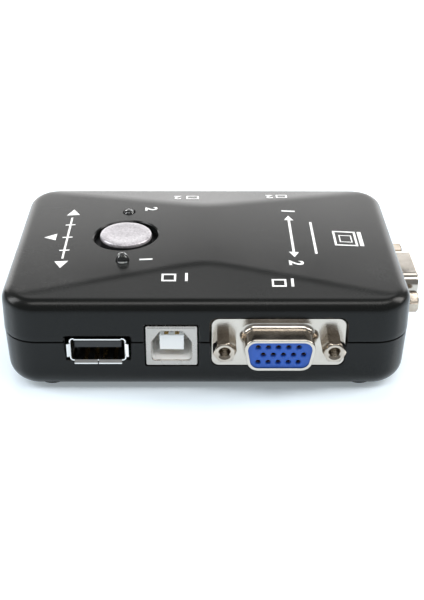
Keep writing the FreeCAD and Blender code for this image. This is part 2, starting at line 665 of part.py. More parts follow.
def jackscrew(place, turn):
    """Hexagonal standoff with a tapped hole in front and a threaded stud behind."""
    corner = JACK_FLATS / math.sqrt(3)
    tip = -JACK_LENGTH
    points = []
    for k in range(6):
        angle = math.radians(turn + 60 * k)
        points.append(Vector(corner * math.cos(angle), tip, corner * math.sin(angle)))
    post = profile_prism(points, Vector(0, JACK_LENGTH, 0))
    blunt = JACK_FLATS / 2 - JACK_CHAMFER / 2
    cone_length = corner - blunt
    nose = Part.makeCone(blunt, corner, cone_length / 2, Vector(0, tip, 0), Vector(0, 1, 0))
    column = rod(corner, Vector(0, tip + cone_length / 2, 0), Vector(0, 0, 0))
    post = post.common(nose.fuse(column))
    stud = rod(JACK_STUD_RADIUS, Vector(0, -1, 0), Vector(0, JACK_STUD_LENGTH, 0))
    bore = rod(JACK_BORE, Vector(0, tip - 1, 0), Vector(0, tip + JACK_BORE_DEPTH, 0))
    mouth = Part.makeCone(
        JACK_MOUTH, JACK_BORE, JACK_MOUTH_DEPTH, Vector(0, tip, 0), Vector(0, 1, 0)
    )
    screw = join([post, stud]).cut([bore, mouth])
    screw.translate(place)
    return screw


def jackscrews():
    return [jackscrew(place, turn) for place, turn in zip(jack_places(), JACK_TURNS)]


# ---- flat data socket, facing -Y with its axis at the origin ----
def flat_lip(start, outward, along, width, flare):
    """One bent lip: sheet that leaves the mouth's edge and flares outward."""
    back = start + Vector(0, FLAT_LIP_LENGTH, 0)
    sheet = outward * FLAT_WALL
    bent = outward * flare
    points = [back, back + sheet, start + sheet + bent, start + bent]
    shifted = [point - along * (width / 2) for point in points]
    return profile_prism(shifted, along * width)


def flat_shell():
    half_width = FLAT_MOUTH_WIDTH / 2
    half_height = FLAT_MOUTH_HEIGHT / 2
    outer_size = (FLAT_MOUTH_WIDTH + 2 * FLAT_WALL, FLAT_MOUTH_HEIGHT + 2 * FLAT_WALL)
    tube = upright_prism(rectangle(*outer_size), FLAT_CORNER, FLAT_LIP_LENGTH, FLAT_LENGTH)
    hollow = upright_prism(
        rectangle(FLAT_MOUTH_WIDTH, FLAT_MOUTH_HEIGHT),
        FLAT_CORNER - FLAT_WALL,
        -1,
        FLAT_LENGTH + 1,
    )
    x_axis = Vector(1, 0, 0)
    z_axis = Vector(0, 0, 1)
    width, flare = FLAT_TOP_LIP
    lips = [flat_lip(z_axis * half_height, z_axis, x_axis, width, flare)]
    width, flare = FLAT_SIDE_LIP
    for side in (-1, 1):
        outward = x_axis * side
        lips.append(flat_lip(outward * half_width, outward, z_axis, width, flare))
    width, flare = FLAT_BOTTOM_LIP
    lips.append(flat_lip(z_axis * -half_height, z_axis * -1, x_axis, width, flare))
    split = FLAT_LIP_SPLIT / 2
    seam = block(-split, split, -1, FLAT_LIP_LENGTH, -half_height - 2, -half_height + 1)
    rear_floor = block(
        -half_width, half_width, FLAT_CAVITY, FLAT_LENGTH + 1, -half_height - 1, -half_height
    )
    shell = join([tube.cut(hollow)] + lips + flat_tabs())
    return shell.cut([seam, rear_floor])


def flat_tabs():
    """The two shield legs, folded down from the sides into the board."""
    inner = FLAT_MOUTH_WIDTH / 2
    outer = inner + FLAT_WALL
    low = LEG_END - BOARD_TOP - FLAT_AXIS
    y0 = FLAT_CAVITY + FLAT_TAB_SETBACK
    tabs = []
    for x0, x1 in ((-outer, -inner), (inner, outer)):
        tabs.append(block(x0, x1, y0, y0 + SHIELD_LEG_WIDTH, low, 0))
    return tabs


def flat_contacts():
    bottom = FLAT_MOUTH_HEIGHT / 2 - FLAT_TONGUE_GAP - FLAT_TONGUE_THICKNESS
    strips = []
    for x in FLAT_CONTACTS:
        x0 = x - STRIP_WIDTH / 2
        x1 = x + STRIP_WIDTH / 2
        back = FLAT_LENGTH + STRIP_THICKNESS
        y0 = FLAT_TONGUE_START + STRIP_SETBACK
        top = bottom + STRIP_THICKNESS
        strip = block(x0, x1, y0, back, bottom, top)
        low = LEG_END - BOARD_TOP - FLAT_AXIS
        leg = block(x0 + STRIP_LEG_STEP, x1 - STRIP_LEG_STEP, FLAT_LENGTH, back, low, top)
        strips.append(join([strip, leg]))
    return strips


def flat_insulator():
    half_width = FLAT_MOUTH_WIDTH / 2
    half_height = FLAT_MOUTH_HEIGHT / 2
    top = half_height - FLAT_TONGUE_GAP
    half_tongue = FLAT_TONGUE_WIDTH / 2
    tongue = block(
        -half_tongue,
        half_tongue,
        FLAT_TONGUE_START,
        FLAT_LENGTH,
        top - FLAT_TONGUE_THICKNESS,
        top,
    )
    corner = FLAT_CORNER - FLAT_WALL
    body = upright_prism(
        rectangle(FLAT_MOUTH_WIDTH, FLAT_MOUTH_HEIGHT), corner, FLAT_CAVITY, FLAT_LENGTH
    )
    foot = block(
        -half_width + FLAT_FOOT_INSET,
        half_width - FLAT_FOOT_INSET,
        FLAT_CAVITY,
        FLAT_LENGTH,
        -FLAT_AXIS,
        1 - half_height,
    )
    return join([body, tongue, foot]).cut(flat_contacts())


# ---- square data socket, facing -Y with its axis at the origin ----
def square_mouth(y0, y1, grow=0.0):
    """The mouth's prism: a rectangle with both upper corners cut off."""
    a = SQUARE_MOUTH_WIDTH / 2 + grow
    b = SQUARE_MOUTH_HEIGHT / 2 + grow
    across, down = SQUARE_MOUTH_CHAMFER
    corners = [(-a, -b), (a, -b), (a, b - down), (a - across, b), (-a + across, b), (-a, b - down)]
    return upright_prism(corners, SQUARE_MOUTH_CORNER + grow, y0, y1)


def square_tabs():
    inner = SQUARE_WIDTH / 2 - SQUARE_WALL
    outer = SQUARE_WIDTH / 2
    low = LEG_END - BOARD_TOP - SQUARE_HEIGHT / 2
    y0 = SQUARE_CAVITY + SQUARE_TAB_SETBACK
    y1 = y0 + SHIELD_LEG_WIDTH
    return [block(x0, x1, y0, y1, low, 0) for x0, x1 in ((-outer, -inner), (inner, outer))]


def front_mouth_edges(shell):
    """Edges of the mouth on the shell's front face."""
    reach = SQUARE_MOUTH_WIDTH / 2 + 0.1
    chosen = []
    for edge in shell.Edges:
        box = edge.BoundBox
        at_front = abs(box.YMin) < 1e-4 and abs(box.YMax) < 1e-4
        if at_front and box.XMin > -reach and box.XMax < reach and abs(box.ZMin) < reach:
            chosen.append(edge)
    return [e for e in chosen if abs(e.BoundBox.ZMax) < reach]


def square_shell():
    corners = rectangle(SQUARE_WIDTH, SQUARE_HEIGHT)
    outer = upright_prism(corners, SQUARE_CORNER, 0, SQUARE_LENGTH)
    front = [e for e in outer.Edges if abs(e.BoundBox.YMin) < 1e-4 and abs(e.BoundBox.YMax) < 1e-4]
    outer = outer.makeFillet(SQUARE_CORNER / 2, front)
    hollow_size = (SQUARE_WIDTH - 2 * SQUARE_WALL, SQUARE_HEIGHT - 2 * SQUARE_WALL)
    hollow = upright_prism(
        rectangle(*hollow_size), SQUARE_CORNER - SQUARE_WALL / 2, SQUARE_WALL, SQUARE_LENGTH + 1
    )
    floor_cut = block(
        -hollow_size[0] / 2,
        hollow_size[0] / 2,
        SQUARE_CAVITY + 1,
        SQUARE_LENGTH + 1,
        -SQUARE_HEIGHT,
        -hollow_size[1] / 2 + 0.1,
    )
    down, tall, deep = SQUARE_FOLD
    fold_top = SQUARE_HEIGHT / 2 - down
    fold_half = SQUARE_WIDTH / 2 - SQUARE_CORNER
    fold = block(-fold_half, fold_half, -1, deep, fold_top - tall, fold_top)
    shell = outer.cut([hollow, floor_cut, fold, square_mouth(-1, SQUARE_WALL + 1)])
    shell = shell.makeFillet(SQUARE_MOUTH_EDGE, front_mouth_edges(shell))
    return join([shell] + square_tabs())


def square_contacts():
    middle = -SQUARE_TONGUE_DROP
    strips = []
    low = LEG_END - BOARD_TOP - SQUARE_HEIGHT / 2
    leg_rows = ((1, SQUARE_LENGTH - SQUARE_WALL), (-1, SQUARE_LENGTH - SQUARE_LOWER_LEGS))
    for level, leg_y in leg_rows:
        outer = middle + level * SQUARE_TONGUE_HEIGHT / 2
        inner = outer - level * STRIP_THICKNESS
        z0, z1 = sorted((outer, inner))
        for x in (-SQUARE_CONTACT_OFFSET, SQUARE_CONTACT_OFFSET):
            x0 = x - STRIP_WIDTH / 2
            x1 = x + STRIP_WIDTH / 2
            leg_back = leg_y + STRIP_THICKNESS
            strip = block(x0, x1, SQUARE_TONGUE_START + STRIP_SETBACK, leg_back, z0, z1)
            leg = block(x0 + STRIP_LEG_STEP, x1 - STRIP_LEG_STEP, leg_y, leg_back, low, z1)
            strips.append(join([strip, leg]))
    return strips


def square_insulator():
    half_width = SQUARE_WIDTH / 2 - SQUARE_WALL
    half_height = SQUARE_HEIGHT / 2 - SQUARE_WALL
    back = SQUARE_LENGTH - SQUARE_WALL
    middle = -SQUARE_TONGUE_DROP
    half_tongue = SQUARE_TONGUE_WIDTH / 2
    body = upright_prism(
        rectangle(2 * half_width, 2 * half_height), SQUARE_CORNER - SQUARE_WALL / 2, SQUARE_WALL, back
    )
    tongue = block(
        -half_tongue,
        half_tongue,
        SQUARE_TONGUE_START,
        SQUARE_CAVITY + 1,
        middle - SQUARE_TONGUE_HEIGHT / 2,
        middle + SQUARE_TONGUE_HEIGHT / 2,
    )
    foot = block(
        -half_width + SQUARE_FOOT_INSET,
        half_width - SQUARE_FOOT_INSET,
        SQUARE_CAVITY + 1,
        back,
        -SQUARE_HEIGHT / 2,
        -half_height + 1,
    )
    hollow = body.cut(square_mouth(SQUARE_WALL - 1, SQUARE_CAVITY))
    return join([hollow, tongue, foot]).cut(square_contacts())


# ---- push button and its switch ----
def button_roof():
    return roof_height(BUTTON_X, 0)


def flange_top():
    """The carrier's flange lies just under the lowest part of the roof over it."""
    return roof_height(abs(BUTTON_X) + BUTTON_FLANGE_RADIUS, 0, WALL) - BUTTON_FLANGE_GAP


def button_cap():
    top = button_roof() + BUTTON_CAP_PROUD
    base = flange_top() + BUTTON_CAP_SEAT
    cap = rod(BUTTON_CAP_RADIUS, Vector(BUTTON_X, 0, base), Vector(BUTTON_X, 0, top))
    cap = cap.makeFillet(BUTTON_CAP_EDGE, edges_at_height(cap, top))
    inner = BUTTON_CAP_RADIUS - BUTTON_CAP_WALL
    hollow = rod(inner, Vector(BUTTON_X, 0, base - 1), Vector(BUTTON_X, 0, top - BUTTON_CAP_WALL))
    return cap.cut(hollow)


def button_carrier():
    cap_top = button_roof() + BUTTON_CAP_PROUD
    spigot_top = cap_top - BUTTON_CAP_WALL
    cap_base = flange_top() + BUTTON_CAP_SEAT
    collar_base = flange_top() - BUTTON_FLANGE_THICKNESS
    centre = Vector(BUTTON_X, 0, 0)
    up = Vector(0, 0, 1)
    inner = BUTTON_CAP_RADIUS - BUTTON_CAP_WALL
    spigot = rod(inner, centre + up * collar_base, centre + up * spigot_top)
    collar = rod(BUTTON_CAP_RADIUS, centre + up * collar_base, centre + up * cap_base)
    flange = rod(BUTTON_FLANGE_RADIUS, centre + up * collar_base, centre + up * flange_top())
    plunger_tip = BOARD_TOP + SWITCH_HEIGHT
    stem = rod(BUTTON_STEM_RADIUS, centre + up * plunger_tip, centre + up * spigot_top)
    core_top = spigot_top - BUTTON_CAP_WALL
    core_base = collar_base - 1
    core = rod(inner - BUTTON_CAP_WALL, centre + up * core_base, centre + up * core_top)
    cup = join([spigot, collar, flange]).cut(core)
    return join([cup, stem])


def switch_housing():
    half = SWITCH_SIZE / 2
    body = block(
        BUTTON_X - half, BUTTON_X + half, -half, half, BOARD_TOP, BOARD_TOP + SWITCH_BODY_HEIGHT
    )
    well_base = BOARD_TOP + SWITCH_BODY_HEIGHT / 2
    well = rod(
        SWITCH_DOME_RADIUS + SWITCH_WELL_CLEARANCE,
        Vector(BUTTON_X, 0, well_base),
        Vector(BUTTON_X, 0, SEAM_Z),
    )
    return body.cut(well)


def switch_cover():
    half = SWITCH_SIZE / 2
    base = BOARD_TOP + SWITCH_BODY_HEIGHT
    plate = block(BUTTON_X - half, BUTTON_X + half, -half, half, base, base + SWITCH_COVER)
    hole_radius = SWITCH_PLUNGER_RADIUS + LEG_CLEARANCE
    hole = rod(hole_radius, Vector(BUTTON_X, 0, base - 1), Vector(BUTTON_X, 0, SEAM_Z))
    return plate.cut(hole)


def switch_plunger():
    shoulder_top = BOARD_TOP + SWITCH_BODY_HEIGHT
    shoulder_base = shoulder_top - SWITCH_SHOULDER
    tip = BOARD_TOP + SWITCH_HEIGHT
    stem = rod(SWITCH_PLUNGER_RADIUS, Vector(BUTTON_X, 0, shoulder_base), Vector(BUTTON_X, 0, tip))
    shoulder = rod(
        SWITCH_DOME_RADIUS, Vector(BUTTON_X, 0, shoulder_base), Vector(BUTTON_X, 0, shoulder_top)
    )
    return join([stem, shoulder])


def switch_dome():
    """Spring steel snap dome between the switch floor and the plunger."""
    floor_z = BOARD_TOP + SWITCH_BODY_HEIGHT / 2
    rise = SWITCH_BODY_HEIGHT / 2 - SWITCH_SHOULDER
    ball = (SWITCH_DOME_RADIUS ** 2 + rise ** 2) / (2 * rise)
    centre = Vector(BUTTON_X, 0, floor_z + rise - ball)
    shell = Part.makeSphere(ball, centre).cut(Part.makeSphere(ball - SWITCH_DOME_SHEET, centre))
    return shell.common(rod(ball, Vector(BUTTON_X, 0, floor_z), Vector(BUTTON_X, 0, SEAM_Z)))


def switch_leg_places():
    places = []
    for side_x in (-1, 1):
        for side_y in (-1, 1):
            places.append((BUTTON_X + side_x * SWITCH_LEG_X, side_y * SWITCH_LEG_Y))
    return places


def switch_leg(x, y):
    a = SWITCH_LEG_SIZE[0] / 2
    b = SWITCH_LEG_SIZE[1] / 2
    return block(x - a, x + a, y - b, y + b, LEG_END, BOARD_TOP + SWITCH_BODY_HEIGHT / 2)


# ---- indicator lamps ----
def led_places():
    return {"front": -LED_SPACING / 2, "back": LED_SPACING / 2}


def led_base(side):
    y = led_places()[side]
    return roof_height(BUTTON_X, y) + LED_PROUD[side] - LED_HEIGHT


def led_lens(side):
    y = led_places()[side]
    base = Vector(BUTTON_X, y, led_base(side))
    dome_centre = base + Vector(0, 0, LED_HEIGHT - LED_RADIUS)
    flange = rod(LED_FLANGE_RADIUS, base, base + Vector(0, 0, LED_FLANGE_THICKNESS))
    barrel = rod(LED_RADIUS, base, dome_centre)
    dome = Part.makeSphere(LED_RADIUS, dome_centre)
    return join([flange, barrel, dome])


def led_leads():
    leads = []
    half = LED_LEAD / 2
    for side, y in led_places().items():
        for offset in (-LED_LEAD_PITCH / 2, LED_LEAD_PITCH / 2):
            x = BUTTON_X + offset
            leads.append(block(x - half, x + half, y - half, y + half, LEG_END, led_base(side)))
    return leads


# ---- parts soldered to the board ----
def chip_body(name):
    x, y, length, width, _ = CHIPS[name]
    base = BOARD_TOP + CHIP_STANDOFF
    top = base + CHIP_HEIGHT
    return block(x - length / 2, x + length / 2, y - width / 2, y + width / 2, base, top)


def chip_leads():
    leads = []
    for x, y, _, width, count in CHIPS.values():
        for side in (-1, 1):
            edge = y + side * width / 2
            shoulder = edge + side * CHIP_LEAD_REACH / 2
            toe = edge + side * CHIP_LEAD_REACH
            high = BOARD_TOP + CHIP_STANDOFF + CHIP_HEIGHT / 2
            thick = CHIP_LEAD_THICKNESS
            for i in range(count):
                x0 = x + (i - (count - 1) / 2) * CHIP_PITCH - CHIP_LEAD_WIDTH / 2
                section = [
                    Vector(x0, edge, high),
                    Vector(x0, edge, high + thick),
                    Vector(x0, shoulder + side * thick, high + thick),
                    Vector(x0, shoulder + side * thick, BOARD_TOP + thick),
                    Vector(x0, toe, BOARD_TOP + thick),
                    Vector(x0, toe, BOARD_TOP),
                    Vector(x0, shoulder, BOARD_TOP),
                    Vector(x0, shoulder, high),
                ]
                leads.append(profile_prism(section, Vector(CHIP_LEAD_WIDTH, 0, 0)))
    return leads


def crystal():
    x, y, length, width, height = CRYSTAL
    corners = [(x - length / 2, y - width / 2), (x + length / 2, y - width / 2)]
    corners += [(x + length / 2, y + width / 2), (x - length / 2, y + width / 2)]
    can = Part.Face(outline(corners, CRYSTAL_CORNER, on_plan(BOARD_TOP)))
    return can.extrude(Vector(0, 0, height))


def capacitor(x, y):
    top = BOARD_TOP + CAPACITOR_HEIGHT
    can = rod(CAPACITOR_RADIUS, Vector(x, y, BOARD_TOP), Vector(x, y, top))
    return can.makeFillet(CAPACITOR_EDGE, edges_at_height(can, top))


def small_parts(size, places):
    length, width, height = size
    top = BOARD_TOP + height
    parts = []
    for x, y in places:
        x0 = x - length / 2
        y0 = y - width / 2
        parts.append(block(x0, x0 + length, y0, y0 + width, BOARD_TOP, top))
    return parts


def resistor_places():
    first = CASE_WIDTH / 2 - RESISTOR_INSET
    return [(first + RESISTOR_PITCH * k, y) for k in range(RESISTOR_COUNT) for y in RESISTOR_ROWS]


def chip_capacitor_places():
    first = -SWITCH_CAPACITOR_PITCH * (SWITCH_CAPACITOR_COUNT - 1) / 2
    places = []
    for k in range(SWITCH_CAPACITOR_COUNT):
        places.append((SWITCH_CAPACITOR_X, first + SWITCH_CAPACITOR_PITCH * k))
    beside = CASE_WIDTH / 2 - VIDEO_CAPACITOR_INSET
    for name, chip in CHIPS.items():
        if name.startswith("video_switch"):
            places.append((beside, chip[1]))
    return places


def circuit_board(legs):
    offset = WALL + BOARD_CLEARANCE
    corners = rectangle(CASE_WIDTH - 2 * offset, CASE_DEPTH - 2 * offset)
    flat = Part.Face(outline(corners, CORNER_RADIUS - offset, on_plan(BOARD_BOTTOM)))
    board = flat.extrude(Vector(0, 0, BOARD_THICKNESS))
    cuts = []
    for x, y in corner_spots():
        radius = SCREW_RADIUS + SCREW_CLEARANCE
        cuts.append(rod(radius, Vector(x, y, BOARD_BOTTOM - 1), Vector(x, y, BOARD_TOP + 1)))
    for leg in legs:
        box = leg.BoundBox
        cuts.append(
            block(
                box.XMin - LEG_CLEARANCE,
                box.XMax + LEG_CLEARANCE,
                box.YMin - LEG_CLEARANCE,
                box.YMax + LEG_CLEARANCE,
                BOARD_BOTTOM - 1,
                BOARD_TOP + 1,
            )
        )
    return board.cut(cuts)


def legs_through_board(pieces):
    """The stretch of each piece that passes through the board."""
    slab = block(-CASE_WIDTH, CASE_WIDTH, -CASE_DEPTH, CASE_DEPTH, BOARD_BOTTOM, BOARD_TOP)
    legs = []
    for piece in pieces:
        legs.extend(piece.common(slab).Solids)
    return legs


def main():
    os.makedirs("parts", exist_ok=True)
    soldered = []
    save("upper_case", upper_case())
    save("lower_case", lower_case())
    save("rubber_feet", *[rubber_foot(x, y) for x, y in corner_spots()])
    save("case_screws", *[case_screw(x, y) for x, y in corner_spots()])

    video = {"shell": [video_shell()], "insulator": [video_insulator()], "bracket": [video_bracket()]}
    video["contacts"] = [video_contact(*place) for place in pin_places()]
    video["jackscrews"] = jackscrews()
    for side, along in VIDEO_PORTS.items():
        for piece, solids in video.items():
            placed = [stand_at(s, side, along, SEAM_Z, VIDEO_RECESS) for s in solids]
            save("video_" + side + "_" + piece, *placed)
            if piece in ("bracket", "contacts"):
                soldered.extend(placed)

    flat = {"shell": [flat_shell()], "insulator": [flat_insulator()], "contacts": flat_contacts()}
    for side, along in FLAT_PORTS.items():
        for piece, solids in flat.items():
            placed = [stand_at(s, side, along, BOARD_TOP + FLAT_AXIS, -FLAT_PROUD) for s in solids]
            save("flat_" + side + "_" + piece, *placed)
            if piece != "insulator":
                soldered.extend(placed)

    square = {"shell": [square_shell()], "insulator": [square_insulator()], "contacts": square_contacts()}
    for side, along in SQUARE_PORTS.items():
        height = BOARD_TOP + SQUARE_HEIGHT / 2
        for piece, solids in square.items():
            placed = [stand_at(s, side, along, height, SQUARE_RECESS) for s in solids]
            save("square_" + side + "_" + piece, *placed)
            if piece != "insulator":
                soldered.extend(placed)

    save("button_cap", button_cap())
    save("button_carrier", button_carrier())
    save("switch_housing", switch_housing())
    save("switch_cover", switch_cover())
    save("switch_plunger", switch_plunger())
    save("switch_dome", switch_dome())
    legs = [switch_leg(x, y) for x, y in switch_leg_places()]
    save("switch_legs", *legs)
    soldered.extend(legs)

    for side in led_places():
        save("led_" + side, led_lens(side))
    leads = led_leads()
    save("led_leads", *leads)
    soldered.extend(leads)

    for name in CHIPS:
        save(name, chip_body(name))
    save("chip_leads", *chip_leads())
    save("crystal", crystal())
    for (x, y), name in zip(CAPACITORS, ("capacitor_front", "capacitor_back")):
        save(name, capacitor(x, y))
    save("chip_resistors", *small_parts(CHIP_RESISTOR, resistor_places()))
    save("chip_capacitors", *small_parts(CHIP_CAPACITOR, chip_capacitor_places()))
    save("circuit_board", circuit_board(legs_through_board(soldered)))


main()
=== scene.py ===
import math

import bmesh
import bpy
from mathutils import Matrix, Vector


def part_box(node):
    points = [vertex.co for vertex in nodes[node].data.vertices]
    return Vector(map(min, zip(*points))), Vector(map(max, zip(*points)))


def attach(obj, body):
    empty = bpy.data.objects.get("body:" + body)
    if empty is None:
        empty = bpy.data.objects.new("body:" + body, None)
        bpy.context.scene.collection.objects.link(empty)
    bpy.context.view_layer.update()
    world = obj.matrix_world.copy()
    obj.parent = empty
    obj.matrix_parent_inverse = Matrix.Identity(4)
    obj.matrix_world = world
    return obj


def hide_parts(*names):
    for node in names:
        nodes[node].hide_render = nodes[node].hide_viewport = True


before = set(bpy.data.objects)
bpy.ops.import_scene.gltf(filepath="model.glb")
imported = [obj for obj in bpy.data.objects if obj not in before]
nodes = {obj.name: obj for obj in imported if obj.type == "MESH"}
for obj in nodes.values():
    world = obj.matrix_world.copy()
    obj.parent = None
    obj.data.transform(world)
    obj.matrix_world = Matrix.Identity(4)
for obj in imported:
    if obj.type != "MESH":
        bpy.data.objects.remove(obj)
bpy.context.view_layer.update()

MM = 0.001


# ---- Camera ----
# A long lens above the front face looks down on the box, a little turned to its right.
CAMERA_PLACE = Vector((-3.205, -231.89, 143.48)) * MM
LENS = 62.0
SENSOR_WIDTH = 36.0
PITCH = math.radians(30.64)
YAW = math.radians(0.4)
ROLL = math.radians(0.226)
LENS_SHIFT = (0.0048, 0.0057)

ahead = Vector((math.sin(YAW) * math.cos(PITCH), math.cos(YAW) * math.cos(PITCH), -math.sin(PITCH)))
level_right = Vector((math.cos(YAW), -math.sin(YAW), 0))
level_up = level_right.cross(ahead)
camera_right = level_right * math.cos(ROLL) + level_up * math.sin(ROLL)
camera_up = level_up * math.cos(ROLL) - level_right * math.sin(ROLL)
camera_data = bpy.data.cameras.new("camera")
camera_data.lens = LENS
camera_data.sensor_width = SENSOR_WIDTH
camera_data.shift_x, camera_data.shift_y = LENS_SHIFT
camera_data.clip_start = 1 * MM
camera_data.clip_end = 50.0
camera = bpy.data.objects.new("camera", camera_data)
turn = Matrix((camera_right, camera_up, -ahead)).transposed().to_4x4()
camera.matrix_world = Matrix.Translation(CAMERA_PLACE) @ turn
bpy.context.scene.collection.objects.link(camera)
bpy.context.scene.camera = camera


# ---- Studio floor and lights ----
# A plain white table top, a low bright panel behind the box that the roof mirrors at a shallow
# angle, a softer panel overhead, a narrow one to each side and a small one above the front.
FLOOR_SIZE = 12.0
FLOOR_LEVEL = -0.05 * MM

floor_mesh = bpy.data.meshes.new("floor")
half_floor = FLOOR_SIZE / 2
floor_mesh.from_pydata(
    [
        (-half_floor, -half_floor, FLOOR_LEVEL),
        (half_floor, -half_floor, FLOOR_LEVEL),
        (half_floor, half_floor, FLOOR_LEVEL),
        (-half_floor, half_floor, FLOOR_LEVEL),
    ],
    [],
    [(0, 1, 2, 3)],
)
floor = bpy.data.objects.new("floor", floor_mesh)
bpy.context.scene.collection.objects.link(floor)
floor_finish = bpy.data.materials.new("table_top")
floor_finish.use_nodes = True
floor_shader = floor_finish.node_tree.nodes["Principled BSDF"]
floor_shader.inputs["Base Color"].default_value = (0.75, 0.84, 0.92, 1)
floor_shader.inputs["Roughness"].default_value = 0.22
floor_shader.inputs["Emission Color"].default_value = (0.87, 0.955, 1.0, 1)
floor_shader.inputs["Emission Strength"].default_value = 0.27
floor_mesh.materials.append(floor_finish)

# name: place, size, power, colour; each panel faces the box
PANELS = {
    "back_panel": ((0.0, 0.85, 0.22), (1.6, 0.42), 5.7, (1.0, 0.99, 0.98)),
    "top_panel": ((0.05, 0.52, 0.86), (0.8, 0.5), 2.6, (1.0, 1.0, 1.0)),
    "left_panel": ((-0.85, 0.0, 0.55), (0.4, 0.7), 6.6, (0.98, 0.99, 1.0)),
    "right_panel": ((0.85, 0.05, 0.6), (0.4, 0.7), 7.6, (1.0, 0.98, 0.95)),
    "front_panel": ((0.1, -0.46, 1.05), (1.1, 0.28), 6.2, (1.0, 0.985, 0.96)),
}
for panel_name, (place, size, power, colour) in PANELS.items():
    panel = bpy.data.lights.new(panel_name, "AREA")
    panel.shape = "RECTANGLE"
    panel.size, panel.size_y = size
    panel.energy = power
    panel.color = colour
    lamp = bpy.data.objects.new(panel_name, panel)
    lamp.location = place
    lamp.rotation_euler = (-Vector(place)).to_track_quat("-Z", "Y").to_euler()
    lamp.visible_camera = False
    bpy.context.scene.collection.objects.link(lamp)

room = bpy.data.worlds.new("room")
room.use_nodes = True
room.node_tree.nodes["Background"].inputs["Color"].default_value = (0.96, 0.985, 1.0, 1)
room.node_tree.nodes["Background"].inputs["Strength"].default_value = 0.28
bpy.context.scene.world = room
bpy.context.scene.view_settings.view_transform = "Standard"


# ---- Upper case shell ----
# Injection moulded ABS in satin charcoal: drafted walls, a rounded rim, and a shallow roof whose
# two long planes fall to the short sides and whose facets fall to the front and back faces.
upper_low, upper_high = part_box("upper_case")
front_port_low, front_port_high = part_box("video_front_shell")
CASE_X = (upper_low.x + upper_high.x) / 2
SEAM = (front_port_low.z + front_port_high.z) / 2
HALF_WIDTH = 47.6 * MM
HALF_DEPTH = 31.5 * MM
CASE_CORNER = 8.4 * MM
WALL = 2.0 * MM
RIDGE = upper_high.z - SEAM
SIDE_RIM = 10.6 * MM
END_RIM = 10.35 * MM
FACET_RUN = 16.2 * MM
RIDGE_SOFTNESS = 3.6 * MM
CREASE_SOFTNESS = 0.26 * MM
RIM_RADIUS = 2.7 * MM
UPPER_LEAN = math.tan(math.radians(1.2))
SEAM_OVERHANG = 0.1 * MM
SEAM_GROOVE = 0.25 * MM
GROOVE_DEPTH = 0.7 * MM
SEAM_EDGE = 0.18 * MM
SEAM_GAP = 0.02 * MM
SIDE_STEPS = 104
END_STEPS = 58
CORNER_STEPS = 12
ROOF_STEPS = 38
RIM_STEPS = 9
WALL_STEPS = 6
INNER_STEPS = 8


def roof_height(x, y):
    """Roof over a point measured from the middle of the case, with softened creases."""
    along = math.sqrt(x * x + RIDGE_SOFTNESS ** 2)
    side = SEAM + RIDGE - (RIDGE - SIDE_RIM) * along / HALF_WIDTH
    end = SEAM + END_RIM + (RIDGE - END_RIM) * (HALF_DEPTH - abs(y)) / FACET_RUN
    share = max(0.0, min(1.0, 0.5 + 0.5 * (end - side) / CREASE_SOFTNESS))
    return end + (side - end) * share - CREASE_SOFTNESS * share * (1 - share)


def case_outline(inset):
    """Plan of the case drawn in by inset: straight sides and round corners, run anticlockwise."""
    radius = max(CASE_CORNER - inset, 0.05 * MM)
    a = HALF_WIDTH - inset - radius
    b = HALF_DEPTH - inset - radius
    sides = (
        ((-a, -b - radius), (a, -b - radius), SIDE_STEPS, (a, -b), -90),
        ((a + radius, -b), (a + radius, b), END_STEPS, (a, b), 0),
        ((a, b + radius), (-a, b + radius), SIDE_STEPS, (-a, b), 90),
        ((-a - radius, b), (-a - radius, -b), END_STEPS, (-a, -b), 180),
    )
    points = []
    for start, end, steps, centre, first_angle in sides:
        for i in range(steps):
            share = i / steps
            x = start[0] + (end[0] - start[0]) * share
            y = start[1] + (end[1] - start[1]) * share
            points.append((x, y))
        for i in range(CORNER_STEPS):
            angle = math.radians(first_angle + 90 * i / CORNER_STEPS)
            points.append((centre[0] + radius * math.cos(angle), centre[1] + radius * math.sin(angle)))
    return points


def case_core():
    """The line along the middle of the case that every ring of the roof closes on."""
    reach = HALF_WIDTH - HALF_DEPTH
    straight = HALF_WIDTH - CASE_CORNER
    return [(max(-1, min(1, x / straight)) * reach, 0.0) for x, y in case_outline(0.0)]


def toward_core(ring, share):
    return [(x + (u - x) * share, y + (v - y) * share) for (x, y), (u, v) in zip(ring, case_core())]


def ring_at(points, height):
    """Flat points lifted to a height, which is a number or a function of the point."""
    lifted = []
    for x, y in points:
        z = height(x, y) if callable(height) else height
        lifted.append(Vector((CASE_X + x, y, z)))
    return lifted


def ring_mesh(name, rings):
    """Closed skin through rings of equal count, from one collapsed middle to the other."""
    mesh = bmesh.new()
    made = [[mesh.verts.new(point) for point in ring] for ring in rings]
    count = len(rings[0])
    for inner, outer in zip(made, made[1:]):
        for i in range(count):
            k = (i + 1) % count
            mesh.faces.new((inner[i], outer[i], outer[k], inner[k]))
    bmesh.ops.remove_doubles(mesh, verts=mesh.verts, dist=1e-6)
    bmesh.ops.dissolve_degenerate(mesh, edges=mesh.edges, dist=1e-7)
    data = bpy.data.meshes.new(name)
    mesh.to_mesh(data)
    mesh.free()
    made_object = bpy.data.objects.new(name, data)
    bpy.context.scene.collection.objects.link(made_object)
    return made_object


def rim_rings(inset, radius, drop, steps):
    """Roof edge: rings of a quarter round from the roof down to the top of the wall."""
    rings = []
    for i in range(steps + 1):
        angle = math.radians(90 - 90 * i / steps)
        points = case_outline(inset + radius * (1 - math.cos(angle)))
        fall = drop + radius * (1 - math.sin(angle))
        rings.append(ring_at(points, lambda x, y: roof_height(x, y) - fall))
    return rings


